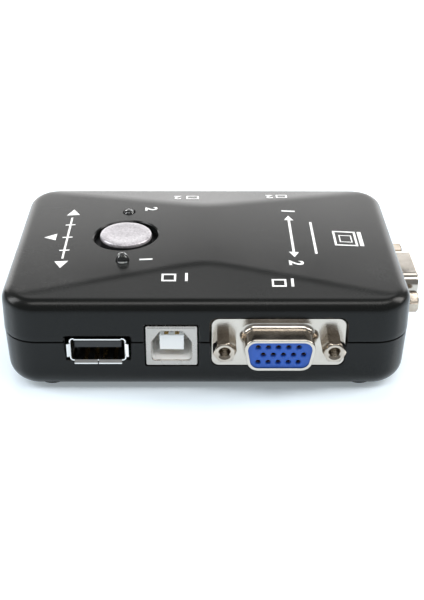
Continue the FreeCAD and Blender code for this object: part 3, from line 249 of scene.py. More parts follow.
def wall_rings(inset, top_drop, foot, steps):
    """Wall below the rim, leaning out as it goes down to the height called foot."""
    rings = []
    for i in range(1, steps + 1):
        share = i / steps
        grow = (RIDGE - END_RIM / 2) * UPPER_LEAN * share * 0.5
        points = case_outline(inset - grow)
        rings.append(
            ring_at(points, lambda x, y: (roof_height(x, y) - top_drop) * (1 - share) + foot * share)
        )
    return rings


def upper_shell_rings():
    lean = (RIDGE - END_RIM / 2) * UPPER_LEAN * 0.5
    inset = lean - SEAM_OVERHANG
    roof_edge = case_outline(inset + RIM_RADIUS)
    rings = []
    for i in range(ROOF_STEPS):
        rings.append(ring_at(toward_core(roof_edge, 1 - i / ROOF_STEPS), roof_height))
    rings += rim_rings(inset, RIM_RADIUS, 0.0, RIM_STEPS)
    foot = SEAM + SEAM_GROOVE
    rings += wall_rings(inset, RIM_RADIUS, foot + SEAM_EDGE, WALL_STEPS)
    for share in (0.3, 0.65, 1.0):
        angle = math.radians(90 * share)
        points = case_outline(-SEAM_OVERHANG + SEAM_EDGE * (1 - math.cos(angle)))
        rings.append(ring_at(points, foot + SEAM_EDGE * (1 - math.sin(angle))))
    rings.append(ring_at(case_outline(GROOVE_DEPTH), foot))
    rings.append(ring_at(case_outline(GROOVE_DEPTH), SEAM + SEAM_GAP))
    rings.append(ring_at(case_outline(WALL), SEAM + SEAM_GAP))
    inner_radius = RIM_RADIUS - WALL
    inner_edge = case_outline(WALL + inner_radius)
    for ring in reversed(rim_rings(WALL, inner_radius, WALL, 3)):
        rings.append(ring)
    for i in range(1, INNER_STEPS + 1):
        ring = toward_core(inner_edge, i / INNER_STEPS)
        rings.append(ring_at(ring, lambda x, y: roof_height(x, y) - WALL))
    return rings


def rounded_section(half_u, low_v, high_v, radius, steps=6):
    """Rounded rectangle outline, as (u, v) points run anticlockwise."""
    centres = (
        (half_u - radius, low_v + radius, -90),
        (half_u - radius, high_v - radius, 0),
        (-half_u + radius, high_v - radius, 90),
        (-half_u + radius, low_v + radius, 180),
    )
    points = []
    for u, v, first_angle in centres:
        for i in range(steps + 1):
            angle = math.radians(first_angle + 90 * i / steps)
            points.append((u + radius * math.cos(angle), v + radius * math.sin(angle)))
    return points


# Every socket has its window through both shells: side it opens on, middle along that side,
# half width, lowest and highest edge, corner radius. Each window's mouth is flared a little.
WINDOW_FLARE = 0.28 * MM
WINDOW_REACH = 3.2 * MM
flat_low, flat_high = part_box("flat_front_insulator")
square_low, square_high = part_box("square_front_shell")
VIDEO_WINDOW = (15.6 * MM, SEAM - 6.45 * MM, SEAM + 6.45 * MM, 1.8 * MM)
FLAT_AXIS = flat_high.z - 2.75 * MM
FLAT_WINDOW = (7.55 * MM, FLAT_AXIS - 3.15 * MM, FLAT_AXIS + 3.36 * MM, 0.5 * MM)
SQUARE_WINDOW = (6.27 * MM, square_high.z - 11.05 * MM, square_high.z + 0.25 * MM, 0.6 * MM)
VIDEO_MIDDLE = (front_port_low.x + front_port_high.x) / 2
FLAT_MIDDLE = (flat_low.x + flat_high.x) / 2
SQUARE_MIDDLE = (square_low.x + square_high.x) / 2
WINDOWS = (
    ("front", VIDEO_MIDDLE, VIDEO_WINDOW),
    ("back", VIDEO_MIDDLE, VIDEO_WINDOW),
    ("right", 0.0, VIDEO_WINDOW),
    ("front", FLAT_MIDDLE, FLAT_WINDOW),
    ("back", FLAT_MIDDLE, FLAT_WINDOW),
    ("left", 0.0, FLAT_WINDOW),
    ("front", SQUARE_MIDDLE, SQUARE_WINDOW),
    ("back", SQUARE_MIDDLE, SQUARE_WINDOW),
)


def side_point(side, along, outward, height):
    """Place by a wall: along the wall, outward from its face, and above the table."""
    if side == "front":
        return Vector((along, -HALF_DEPTH - outward, height))
    if side == "back":
        return Vector((along, HALF_DEPTH + outward, height))
    if side == "right":
        return Vector((CASE_X + HALF_WIDTH + outward, along, height))
    return Vector((CASE_X - HALF_WIDTH - outward, along, height))


def add_column(mesh, loops):
    """Closed column through matching loops of points, capped at both ends."""
    made = [[mesh.verts.new(point) for point in loop] for loop in loops]
    count = len(loops[0])
    for first, second in zip(made, made[1:]):
        for i in range(count):
            k = (i + 1) % count
            mesh.faces.new((first[i], first[k], second[k], second[i]))
    mesh.faces.new(list(reversed(made[0])))
    mesh.faces.new(made[-1])


def add_window(mesh, side, along, window):
    half_u, low, high, radius = window
    loops = []
    far = WINDOW_REACH
    flare = WINDOW_FLARE
    for outward, grow in ((far, far + flare), (0.0, flare), (-flare, 0.0), (-far, 0.0)):
        section = rounded_section(half_u + grow, low - grow, high + grow, radius + grow)
        loops.append([side_point(side, along + u, outward, v) for u, v in section])
    add_column(mesh, loops)


def add_roof_hole(mesh, x, y, radius, flare):
    """Round hole through the roof whose broken edge follows the slope of the roof."""
    steps = 72
    loops = []
    for lift, grow in ((4 * MM, flare + 4 * MM), (0.0, flare), (-flare, 0.0), (-4 * MM, 0.0)):
        loop = []
        for i in range(steps):
            angle = 2 * math.pi * i / steps
            u = x - CASE_X + (radius + grow) * math.cos(angle)
            v = y + (radius + grow) * math.sin(angle)
            loop.append(Vector((CASE_X + u, v, roof_height(u, v) + lift)))
        loops.append(loop)
    add_column(mesh, loops)


def cut_away(piece, cutter_mesh):
    """Takes the closed columns of a bmesh out of a piece and drops the cutter."""
    bmesh.ops.recalc_face_normals(cutter_mesh, faces=cutter_mesh.faces)
    data = bpy.data.meshes.new("cutter")
    cutter_mesh.to_mesh(data)
    cutter_mesh.free()
    cutter = bpy.data.objects.new("cutter", data)
    bpy.context.scene.collection.objects.link(cutter)
    cut = piece.modifiers.new("cut", "BOOLEAN")
    cut.operation = "DIFFERENCE"
    cut.solver = "EXACT"
    cut.object = cutter
    graph = bpy.context.evaluated_depsgraph_get()
    result = bpy.data.meshes.new_from_object(piece.evaluated_get(graph))
    piece.modifiers.clear()
    piece.data = result
    bpy.data.objects.remove(cutter)


def smooth_by_angle(piece, degrees):
    """Shades a piece smooth and keeps the edges sharper than this angle."""
    mesh = bmesh.new()
    mesh.from_mesh(piece.data)
    limit = math.radians(degrees)
    for face in mesh.faces:
        face.smooth = True
    for edge in mesh.edges:
        edge.smooth = not (len(edge.link_faces) == 2 and edge.calc_face_angle(0) > limit)
    mesh.to_mesh(piece.data)
    mesh.free()


button_low, button_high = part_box("button_cap")
BUTTON_X = (button_low.x + button_high.x) / 2
BUTTON_HOLE = 8.05 * MM
BUTTON_HOLE_FLARE = 0.3 * MM
LAMP_HOLE = 1.63 * MM
LAMP_HOLE_FLARE = 0.12 * MM
LAMP_Y = 13.3 * MM
CRISP_EDGE = 24
ROUND_EDGE = 40

upper_shell = ring_mesh("upper_shell", upper_shell_rings())
cutter_mesh = bmesh.new()
for side, along, window in WINDOWS:
    add_window(cutter_mesh, side, along, window)
add_roof_hole(cutter_mesh, BUTTON_X, 0.0, BUTTON_HOLE, BUTTON_HOLE_FLARE)
for y in (-LAMP_Y, LAMP_Y):
    add_roof_hole(cutter_mesh, BUTTON_X, y, LAMP_HOLE, LAMP_HOLE_FLARE)
cut_away(upper_shell, cutter_mesh)
smooth_by_angle(upper_shell, CRISP_EDGE)


def variation_group():
    """Cloudy colour, fine roughness and grain height over a surface, in object space."""
    group = bpy.data.node_groups.new("surface_variation", "ShaderNodeTree")
    wanted = (
        ("Deep", "NodeSocketColor", (0.02, 0.02, 0.02, 1)),
        ("Pale", "NodeSocketColor", (0.03, 0.03, 0.03, 1)),
        ("Cloud Scale", "NodeSocketFloat", 60.0),
        ("Grain Scale", "NodeSocketFloat", 2500.0),
        ("Smooth", "NodeSocketFloat", 0.3),
        ("Rough", "NodeSocketFloat", 0.5),
        ("Speckle", "NodeSocketFloat", 0.1),
    )
    for label, kind, value in wanted:
        group.interface.new_socket(label, in_out="INPUT", socket_type=kind).default_value = value
    group.interface.new_socket("Color", in_out="OUTPUT", socket_type="NodeSocketColor")
    group.interface.new_socket("Roughness", in_out="OUTPUT", socket_type="NodeSocketFloat")
    group.interface.new_socket("Height", in_out="OUTPUT", socket_type="NodeSocketFloat")
    new = group.nodes.new
    link = group.links.new
    given = new("NodeGroupInput")
    put = new("NodeGroupOutput")
    place = new("ShaderNodeTexCoord")
    cloud = new("ShaderNodeTexNoise")
    cloud.inputs["Detail"].default_value = 4.0
    grain = new("ShaderNodeTexNoise")
    grain.inputs["Detail"].default_value = 2.0
    link(place.outputs["Object"], cloud.inputs["Vector"])
    link(place.outputs["Object"], grain.inputs["Vector"])
    link(given.outputs["Cloud Scale"], cloud.inputs["Scale"])
    link(given.outputs["Grain Scale"], grain.inputs["Scale"])
    speck = new("ShaderNodeMath")
    speck.operation = "SUBTRACT"
    speck.inputs[1].default_value = 0.5
    link(grain.outputs["Fac"], speck.inputs[0])
    blend = new("ShaderNodeMath")
    blend.operation = "MULTIPLY_ADD"
    link(speck.outputs[0], blend.inputs[0])
    link(given.outputs["Speckle"], blend.inputs[1])
    link(cloud.outputs["Fac"], blend.inputs[2])
    colour = new("ShaderNodeMix")
    colour.data_type = "RGBA"
    link(blend.outputs[0], colour.inputs["Factor"])
    link(given.outputs["Deep"], colour.inputs[6])
    link(given.outputs["Pale"], colour.inputs[7])
    span = new("ShaderNodeMapRange")
    span.inputs["From Min"].default_value = 0.3
    span.inputs["From Max"].default_value = 0.7
    link(blend.outputs[0], span.inputs["Value"])
    link(given.outputs["Smooth"], span.inputs["To Min"])
    link(given.outputs["Rough"], span.inputs["To Max"])
    link(colour.outputs[2], put.inputs["Color"])
    link(span.outputs["Result"], put.inputs["Roughness"])
    link(grain.outputs["Fac"], put.inputs["Height"])
    return group


surface_variation = variation_group()


RELIEF_DEPTH = 0.02 * MM


def varied_finish(name, deep, pale, cloud, grain, smooth, rough, speckle, bump, **shader_values):
    """Material whose colour, roughness and grain come from the shared variation group."""
    finish = bpy.data.materials.new(name)
    finish.use_nodes = True
    tree = finish.node_tree
    shader = tree.nodes["Principled BSDF"]
    varied = tree.nodes.new("ShaderNodeGroup")
    varied.node_tree = surface_variation
    varied.inputs["Deep"].default_value = (*deep, 1)
    varied.inputs["Pale"].default_value = (*pale, 1)
    varied.inputs["Cloud Scale"].default_value = cloud
    varied.inputs["Grain Scale"].default_value = grain
    varied.inputs["Smooth"].default_value = smooth
    varied.inputs["Rough"].default_value = rough
    varied.inputs["Speckle"].default_value = speckle
    tree.links.new(varied.outputs["Color"], shader.inputs["Base Color"])
    tree.links.new(varied.outputs["Roughness"], shader.inputs["Roughness"])
    relief = tree.nodes.new("ShaderNodeBump")
    relief.inputs["Strength"].default_value = bump
    relief.inputs["Distance"].default_value = RELIEF_DEPTH
    tree.links.new(varied.outputs["Height"], relief.inputs["Height"])
    tree.links.new(relief.outputs["Normal"], shader.inputs["Normal"])
    for label, value in shader_values.items():
        shader.inputs[label.replace("_", " ")].default_value = value
    return finish


def wear(piece, finish):
    piece.data.materials.clear()
    piece.data.materials.append(finish)
    for face in piece.data.polygons:
        face.material_index = 0


charcoal = varied_finish(
    "charcoal_abs", deep=(0.0042, 0.0046, 0.0043), pale=(0.0064, 0.0069, 0.0065),
    cloud=45.0, grain=5200.0, smooth=0.20, rough=0.28, speckle=0.5, bump=0.35,
    Specular_IOR_Level=0.215,
)
wear(upper_shell, charcoal)
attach(upper_shell, "case")
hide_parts("upper_case")


# ---- Lower case shell ----
# The same charcoal ABS: a tray with drafted walls, a generous bottom radius, recesses for the
# four feet, and a top edge that leaves a fine shadow line under the upper shell.
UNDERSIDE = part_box("lower_case")[0].z
LOWER_LEAN = math.tan(math.radians(2.0))
BOTTOM_RADIUS = 5.0 * MM
BOTTOM_STEPS = 9
FOOT_RECESS = 0.5 * MM
FOOT_ROOM = 3.85 * MM
FOOT_ROOM_FLARE = 0.15 * MM
FOOT_ROOM_STEPS = 48
FOOT_X = 37.0 * MM
FOOT_Y = 23.8 * MM
FOOT_PLACES = [(CASE_X + i * FOOT_X, k * FOOT_Y) for i in (-1, 1) for k in (-1, 1)]


def lower_shell_rings():
    foot_inset = (SEAM - UNDERSIDE) * LOWER_LEAN
    inner_radius = BOTTOM_RADIUS - WALL
    floor_level = UNDERSIDE + WALL
    inner_edge = case_outline(foot_inset + WALL + inner_radius)
    rings = [ring_at(toward_core(inner_edge, 1 - i / 6), floor_level) for i in range(6)]
    for i in range(5):
        angle = math.radians(90 * i / 4)
        points = case_outline(foot_inset + WALL + inner_radius * (1 - math.sin(angle)))
        rings.append(ring_at(points, floor_level + inner_radius * (1 - math.cos(angle))))
    rings.append(ring_at(case_outline(WALL), SEAM - SEAM_GAP))
    rings.append(ring_at(case_outline(SEAM_EDGE), SEAM - SEAM_GAP))
    for share in (0.4, 1.0):
        angle = math.radians(90 * share)
        points = case_outline(SEAM_EDGE * (1 - math.sin(angle)))
        rings.append(ring_at(points, SEAM - SEAM_EDGE * (1 - math.cos(angle))))
    for i in range(1, WALL_STEPS + 1):
        share = i / WALL_STEPS
        fall = (SEAM - SEAM_EDGE - UNDERSIDE - BOTTOM_RADIUS) * share
        points = case_outline((fall + SEAM_EDGE) * LOWER_LEAN)
        rings.append(ring_at(points, SEAM - SEAM_EDGE - fall))
    for i in range(1, BOTTOM_STEPS + 1):
        angle = math.radians(90 * i / BOTTOM_STEPS)
        lean = (SEAM - UNDERSIDE - BOTTOM_RADIUS) * LOWER_LEAN
        points = case_outline(lean + BOTTOM_RADIUS * (1 - math.cos(angle)))
        rings.append(ring_at(points, UNDERSIDE + BOTTOM_RADIUS * (1 - math.sin(angle))))
    outer_edge = case_outline(lean + BOTTOM_RADIUS)
    for i in range(1, INNER_STEPS + 1):
        rings.append(ring_at(toward_core(outer_edge, i / INNER_STEPS), UNDERSIDE))
    return rings


lower_shell = ring_mesh("lower_shell", lower_shell_rings())
cutter_mesh = bmesh.new()
for side, along, window in WINDOWS:
    add_window(cutter_mesh, side, along, window)
for x, y in FOOT_PLACES:
    loops = []
    flare = FOOT_ROOM_FLARE
    for lift, grow in ((-2 * MM, flare), (0.0, flare), (flare, 0.0), (FOOT_RECESS, 0.0)):
        loop = []
        for i in range(FOOT_ROOM_STEPS):
            angle = 2 * math.pi * i / FOOT_ROOM_STEPS
            u = (FOOT_ROOM + grow) * math.cos(angle)
            v = (FOOT_ROOM + grow) * math.sin(angle)
            loop.append(Vector((x + u, y + v, UNDERSIDE + lift)))
        loops.append(loop)
    add_column(cutter_mesh, loops)
cut_away(lower_shell, cutter_mesh)
smooth_by_angle(lower_shell, CRISP_EDGE)
wear(lower_shell, charcoal)
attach(lower_shell, "case")
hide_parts("lower_case")


# ---- Rubber feet ----
# Four moulded discs of matt black rubber, pressed into the recesses over the case screws, each
# with a rounded edge and a shallow dished face.
rubber = varied_finish(
    "black_rubber", deep=(0.012, 0.012, 0.012), pale=(0.03, 0.03, 0.03),
    cloud=300.0, grain=3000.0, smooth=0.6, rough=0.85, speckle=0.6, bump=0.5,
)
FOOT_RADIUS = 3.7 * MM
FOOT_EDGE = 0.3 * MM
FOOT_DISH = 0.15 * MM
FOOT_DISH_REACH = FOOT_RADIUS * 0.6
FOOT_RING = FOOT_RADIUS * 0.72
FOOT_RING_WIDTH = 0.2 * MM


def turned_mesh(name, profile, steps, radius_of=None):
    """Skin turned about Z from (radius, height) points that start and end on the axis."""
    mesh = bmesh.new()
    rings = []
    for radius, height in profile:
        if radius == 0:
            rings.append([mesh.verts.new((0, 0, height))])
            continue
        ring = []
        for i in range(steps):
            angle = 2 * math.pi * i / steps
            reach = radius_of(radius, angle) if radius_of else radius
            ring.append(mesh.verts.new((reach * math.cos(angle), reach * math.sin(angle), height)))
        rings.append(ring)
    for first, second in zip(rings, rings[1:]):
        for i in range(steps):
            k = (i + 1) % steps
            if len(first) == 1:
                mesh.faces.new((first[0], second[i], second[k]))
            elif len(second) == 1:
                mesh.faces.new((first[i], second[0], first[k]))
            else:
                mesh.faces.new((first[i], second[i], second[k], first[k]))
    bmesh.ops.recalc_face_normals(mesh, faces=mesh.faces)
    data = bpy.data.meshes.new(name)
    mesh.to_mesh(data)
    mesh.free()
    return data


def placing_tree():
    """Puts one made piece on every point of a mesh, its Z axis along the point's facing."""
    tree = bpy.data.node_groups.new("place_copies", "GeometryNodeTree")
    tree.interface.new_socket("Geometry", in_out="INPUT", socket_type="NodeSocketGeometry")
    copied = tree.interface.new_socket("Copied Piece", in_out="INPUT", socket_type="NodeSocketObject")
    sized = tree.interface.new_socket("Size", in_out="INPUT", socket_type="NodeSocketFloat")
    sized.default_value = 1.0
    worn = tree.interface.new_socket("Finish", in_out="INPUT", socket_type="NodeSocketMaterial")
    tree.interface.new_socket("Geometry", in_out="OUTPUT", socket_type="NodeSocketGeometry")
    new = tree.nodes.new
    link = tree.links.new
    given = new("NodeGroupInput")
    put = new("NodeGroupOutput")
    source = new("GeometryNodeObjectInfo")
    facing = new("GeometryNodeInputNamedAttribute")
    facing.data_type = "FLOAT_VECTOR"
    facing.inputs["Name"].default_value = "facing"
    roll = new("GeometryNodeInputNamedAttribute")
    roll.data_type = "FLOAT"
    roll.inputs["Name"].default_value = "roll"
    spin = new("ShaderNodeCombineXYZ")
    align = new("FunctionNodeAlignEulerToVector")
    align.axis = "Z"
    place = new("GeometryNodeInstanceOnPoints")
    turn_copy = new("GeometryNodeRotateInstances")
    turn_copy.inputs["Local Space"].default_value = True
    realize = new("GeometryNodeRealizeInstances")
    dress = new("GeometryNodeSetMaterial")
    link(given.outputs["Copied Piece"], source.inputs["Object"])
    link(given.outputs["Geometry"], place.inputs["Points"])
    link(source.outputs["Geometry"], place.inputs["Instance"])
    link(facing.outputs["Attribute"], align.inputs["Vector"])
    link(align.outputs["Rotation"], place.inputs["Rotation"])
    link(given.outputs["Size"], place.inputs["Scale"])
    link(roll.outputs["Attribute"], spin.inputs["Z"])
    link(place.outputs["Instances"], turn_copy.inputs["Instances"])
    link(spin.outputs["Vector"], turn_copy.inputs["Rotation"])
    link(turn_copy.outputs["Instances"], realize.inputs["Geometry"])
    link(realize.outputs["Geometry"], dress.inputs["Geometry"])
    link(given.outputs["Finish"], dress.inputs["Material"])
    link(dress.outputs["Geometry"], put.inputs["Geometry"])
    return tree, copied.identifier, worn.identifier


place_copies, COPIED_SOCKET, FINISH_SOCKET = placing_tree()


def placed_copies(name, template_mesh, places, finish):
    """One plain mesh of copies; places are (point, facing, roll in degrees)."""
    template = bpy.data.objects.new(name + "_template", template_mesh)
    bpy.context.scene.collection.objects.link(template)
    points = bpy.data.meshes.new(name + "_points")
    points.from_pydata([tuple(point) for point, _, _ in places], [], [])
    facing = points.attributes.new("facing", "FLOAT_VECTOR", "POINT")
    for i, (_, direction, _) in enumerate(places):
        facing.data[i].vector = direction
    roll = points.attributes.new("roll", "FLOAT", "POINT")
    for i, (_, _, degrees) in enumerate(places):
        roll.data[i].value = math.radians(degrees)
    holder = bpy.data.objects.new(name, points)
    bpy.context.scene.collection.objects.link(holder)
    copies = holder.modifiers.new("copies", "NODES")
    copies.node_group = place_copies
    copies[COPIED_SOCKET] = template
    copies[FINISH_SOCKET] = finish
    graph = bpy.context.evaluated_depsgraph_get()
    plain = bpy.data.meshes.new_from_object(holder.evaluated_get(graph))
    holder.modifiers.clear()
    holder.data = plain
    bpy.data.objects.remove(template)
    return holder


foot_profile = [(0, FOOT_DISH), (FOOT_DISH_REACH, FOOT_DISH)]
for degrees in range(0, 181, 30):
    rise = math.radians(degrees)
    foot_profile.append(
        (FOOT_RING - FOOT_RING_WIDTH * math.cos(rise), FOOT_DISH - FOOT_DISH * math.sin(rise / 2))
    )
for degrees in range(0, 91, 15):
    rise = math.radians(degrees)
    foot_profile.append(
        (FOOT_RADIUS - FOOT_EDGE * (1 - math.sin(rise)), FOOT_EDGE * (1 - math.cos(rise)))
    )
foot_top = UNDERSIDE + FOOT_RECESS - SEAM_GAP
foot_profile += [(FOOT_RADIUS, foot_top), (0, foot_top)]
feet = placed_copies(
    "rubber_foot_set",
    turned_mesh("rubber_foot", foot_profile, 48),
    [(Vector((x, y, 0)), Vector((0, 0, 1)), 0.0) for x, y in FOOT_PLACES],
    rubber,
)
smooth_by_angle(feet, ROUND_EDGE)
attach(feet, "case")
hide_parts("rubber_feet")


# ---- Video sockets ----
# Deep drawn steel shells, nickel plated, over a blue moulded insulator with fifteen turned gold
# contacts. Front, back and right-hand sockets are the same part.
nickel = varied_finish(
    "nickel_plate", deep=(0.44, 0.40, 0.35), pale=(0.64, 0.595, 0.54),
    cloud=160.0, grain=2600.0, smooth=0.13, rough=0.26, speckle=0.35, bump=0.12,
    Metallic=1.0,
)
blue_nylon = varied_finish(
    "blue_nylon", deep=(0.003, 0.068, 0.38), pale=(0.006, 0.095, 0.50),
    cloud=220.0, grain=3000.0, smooth=0.3, rough=0.45, speckle=0.5, bump=0.2,
)
gold_flash = varied_finish(
    "gold_flash", deep=(0.72, 0.47, 0.14), pale=(0.95, 0.68, 0.28),
    cloud=300.0, grain=2000.0, smooth=0.18, rough=0.32, speckle=0.3, bump=0.1,
    Metallic=1.0,
)
for side in ("front", "back", "right"):
    wear(nodes["video_" + side + "_shell"], nickel)
    wear(nodes["video_" + side + "_bracket"], nickel)
    wear(nodes["video_" + side + "_insulator"], blue_nylon)
    wear(nodes["video_" + side + "_contacts"], gold_flash)


# ---- Jackscrews ----
# Hexagonal brass posts, nickel plated, turned with a chamfered nose and a tapped hole that
# takes the plug's thumbscrew. Two hold each video socket's flange.
POST_FLATS = 4.75 * MM
POST_LENGTH = 4.8 * MM
POST_BORE = 1.2 * MM
POST_MOUTH = 1.6 * MM
POST_MOUTH_DEPTH = 0.45 * MM
POST_SPACING = 25.0 * MM
POST_NOSE = 0.42 * MM
POST_NOSE_RADIUS = POST_FLATS * 0.46
POST_EDGE = 25
THREAD_PITCH = 0.64 * MM
THREAD_DEPTH = 0.16 * MM
FLANGE_RECESS = 0.3 * MM
post_plate = varied_finish(
    "post_nickel", deep=(0.30, 0.25, 0.20), pale=(0.60, 0.54, 0.47),
    cloud=420.0, grain=2600.0, smooth=0.08, rough=0.18, speckle=0.3, bump=0.12,
    Metallic=1.0,
)


def hexagon_reach(radius, angle):
    """Reach of the hexagon at an angle, cut back to a round of the given radius."""
    wedge = (angle % (math.pi / 3)) - math.pi / 6
    return min(radius, POST_FLATS / 2 / math.cos(wedge))


post_corner = POST_FLATS / math.sqrt(3)
post_profile = [(0, 0.0), (post_corner, 0.0), (post_corner, POST_LENGTH - POST_NOSE)]
for share in (0.35, 0.7, 1.0):
    reach = post_corner - (post_corner - POST_NOSE_RADIUS) * share
    post_profile.append((reach, POST_LENGTH - POST_NOSE * (1 - share)))
post_profile.append((POST_MOUTH + 0.12 * MM, POST_LENGTH))
post_profile.append((POST_MOUTH, POST_LENGTH - 0.06 * MM))
post_profile.append((POST_BORE, POST_LENGTH - POST_MOUTH_DEPTH))
depth = POST_LENGTH - POST_MOUTH_DEPTH
while depth > POST_LENGTH * 0.25:
    post_profile.append((POST_BORE + THREAD_DEPTH, depth - THREAD_PITCH / 2))
    post_profile.append((POST_BORE, depth - THREAD_PITCH))
    depth -= THREAD_PITCH
post_profile.append((0, depth))

OUTWARD = {
    "front": Vector((0, -1, 0)),
    "back": Vector((0, 1, 0)),
    "right": Vector((1, 0, 0)),
    "left": Vector((-1, 0, 0)),
}
post_places = []
post_rolls = iter((8.0, 0.0, 22.0, 4.0, 15.0, 40.0))
for side, along in (("front", VIDEO_MIDDLE), ("back", VIDEO_MIDDLE), ("right", 0.0)):
    for half in (-POST_SPACING / 2, POST_SPACING / 2):
        point = side_point(side, along + half, -FLANGE_RECESS, SEAM)
        post_places.append((point, OUTWARD[side], next(post_rolls)))
posts = placed_copies(
    "jackscrew_posts",
    turned_mesh("jackscrew_post", post_profile, 48, hexagon_reach),
    post_places,
    post_plate,
)
smooth_by_angle(posts, POST_EDGE)
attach(posts, "case")
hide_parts("video_front_jackscrews", "video_back_jackscrews", "video_right_jackscrews")


# ---- Flat data sockets ----
# Folded nickel plated steel shells with four flared lips, a black insulator whose tongue
# carries four gold strips on its lower face. Front, back and left-hand sockets are alike.
bright_nickel = varied_finish(
    "bright_nickel", deep=(0.62, 0.61, 0.59), pale=(0.82, 0.81, 0.795),
    cloud=200.0, grain=2600.0, smooth=0.08, rough=0.18, speckle=0.3, bump=0.08,
    Metallic=1.0,
)
black_nylon = varied_finish(
    "black_nylon", deep=(0.012, 0.012, 0.013), pale=(0.024, 0.024, 0.026),
    cloud=250.0, grain=3000.0, smooth=0.3, rough=0.45, speckle=0.5, bump=0.25,
)
for side in ("front", "back", "left"):
    wear(nodes["flat_" + side + "_shell"], bright_nickel)
    wear(nodes["flat_" + side + "_insulator"], black_nylon)
    wear(nodes["flat_" + side + "_contacts"], gold_flash)


# ---- Square data sockets ----
# Satin nickel plated shells with a curled mouth, a white insulator and a white tongue with
# gold strips above and below. The front one serves channel 1 and the back one channel 2.
satin_nickel = varied_finish(
    "satin_nickel", deep=(0.36, 0.335, 0.31), pale=(0.48, 0.45, 0.42),
    cloud=200.0, grain=2600.0, smooth=0.2, rough=0.34, speckle=0.3, bump=0.15,
    Metallic=1.0,
)
white_nylon = varied_finish(
    "white_nylon", deep=(0.92, 0.92, 0.91), pale=(0.96, 0.96, 0.95),
    cloud=250.0, grain=3000.0, smooth=0.35, rough=0.5, speckle=0.4, bump=0.2,
)
for side in ("front", "back"):
    wear(nodes["square_" + side + "_shell"], satin_nickel)
    wear(nodes["square_" + side + "_insulator"], white_nylon)
    wear(nodes["square_" + side + "_contacts"], gold_flash)


# ---- Button cap ----
# A thin moulded cap with satin silver lacquer and fine metal flake on its top and edge, the top
# very slightly dished; its side below the edge is black, a painted shade for the gap round it.
# It stands in a larger round hole, so a dark ring shows.
CAP_RADIUS = (button_high.x - button_low.x) / 2
CAP_EDGE = 0.7 * MM
CAP_DISH = 0.1 * MM
CAP_WALL = 1.0 * MM
# Depth below the cap top where the silver ends and the painted shade on the side begins.
PAINTED_SHADE_DEPTH = 0.95 * MM
silver_lacquer = varied_finish(
    "silver_lacquer", deep=(0.33, 0.315, 0.335), pale=(0.56, 0.54, 0.565),
    cloud=120.0, grain=2200.0, smooth=0.3, rough=0.46, speckle=2.4, bump=0.6,
    Metallic=0.55, Coat_Weight=0.25,
)
cap_top = button_high.z
cap_profile = [(0, cap_top - CAP_DISH)]
for share in (0.3, 0.6, 0.8):
    cap_profile.append(((CAP_RADIUS - CAP_EDGE) * share, cap_top - CAP_DISH * (1 - share ** 4)))
for degrees in range(0, 91, 15):
    rise = math.radians(degrees)
    cap_profile.append(
        (CAP_RADIUS - CAP_EDGE * (1 - math.sin(rise)), cap_top - CAP_EDGE * (1 - math.cos(rise)))
    )
cap_profile += [
    (CAP_RADIUS, cap_top - PAINTED_SHADE_DEPTH),
    (CAP_RADIUS, button_low.z + 0.15 * MM),
    (CAP_RADIUS - 0.15 * MM, button_low.z),
    (CAP_RADIUS - CAP_WALL, button_low.z),
    (CAP_RADIUS - CAP_WALL, cap_top - CAP_WALL),
    (0, cap_top - CAP_WALL),
]
cap_mesh = turned_mesh("silver_button", cap_profile, 128)
cap_mesh.transform(Matrix.Translation((BUTTON_X, 0, 0)))
cap = bpy.data.objects.new("silver_button", cap_mesh)
bpy.context.scene.collection.objects.link(cap)
smooth_by_angle(cap, ROUND_EDGE)
wear(cap, silver_lacquer)
# Faces on the cap's side below the silver edge wear black nylon: painted shade in the gap round the
# cap.
cap.data.materials.append(black_nylon)
for face in cap.data.polygons:
    if face.center.z < cap_top - PAINTED_SHADE_DEPTH:
        face.material_index = 1
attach(cap, "button")
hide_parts("button_cap")

# Black nylon carrier: its flange under the gap is black partly as painted shade, keeping the ring
# round the cap dark.
wear(nodes["button_carrier"], black_nylon)


# ---- Push switch ----
# A tall six millimetre switch under the button: black moulded housing and plunger, pressed
# steel cover, spring steel dome and tinned legs.
tinned = varied_finish(
    "tinned_steel", deep=(0.52, 0.52, 0.53), pale=(0.74, 0.74, 0.74),
    cloud=260.0, grain=1800.0, smooth=0.25, rough=0.42, speckle=0.3, bump=0.2,
    Metallic=1.0,
)
wear(nodes["switch_housing"], black_nylon)
wear(nodes["switch_plunger"], black_nylon)
wear(nodes["switch_cover"], tinned)
wear(nodes["switch_dome"], tinned)
wear(nodes["switch_legs"], tinned)


# ---- Indicator lamps ----
# Two 3 mm lamps of water-clear epoxy, here tinted grey as painted shade that darkens the domes,
# which stand up through the roof. Inside each are the lead frame's cup and post, which also make
# the dome look dark from a low angle.
# Grey tint in the epoxy: painted shade that darkens the lamp domes and dims the light through them.
epoxy_with_painted_shade = varied_finish(
    "epoxy_with_painted_shade", deep=(0.18, 0.19, 0.19), pale=(0.26, 0.27, 0.27),
    cloud=300.0, grain=2000.0, smooth=0.04, rough=0.09, speckle=0.2, bump=0.02,
    Transmission_Weight=0.92, IOR=1.5,
)
CUP_PROFILE = [
    (0, 0.0), (0.45 * MM, 0.0), (0.45 * MM, 1.5 * MM), (0.75 * MM, 2.3 * MM), (0.68 * MM, 2.3 * MM),
    (0.35 * MM, 1.9 * MM), (0, 1.9 * MM),
]
cup_places = []
for lamp_side in ("front", "back"):
    wear(nodes["led_" + lamp_side], epoxy_with_painted_shade)
    lamp_low, lamp_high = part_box("led_" + lamp_side)
    middle = (lamp_low + lamp_high) / 2
    cup_places.append((Vector((middle.x, middle.y, lamp_low.z + 0.6 * MM)), Vector((0, 0, 1)), 0.0))
cups = placed_copies("lamp_cups", turned_mesh("lamp_cup", CUP_PROFILE, 24), cup_places, tinned)
smooth_by_angle(cups, ROUND_EDGE)
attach(cups, "case")
wear(nodes["led_leads"], tinned)


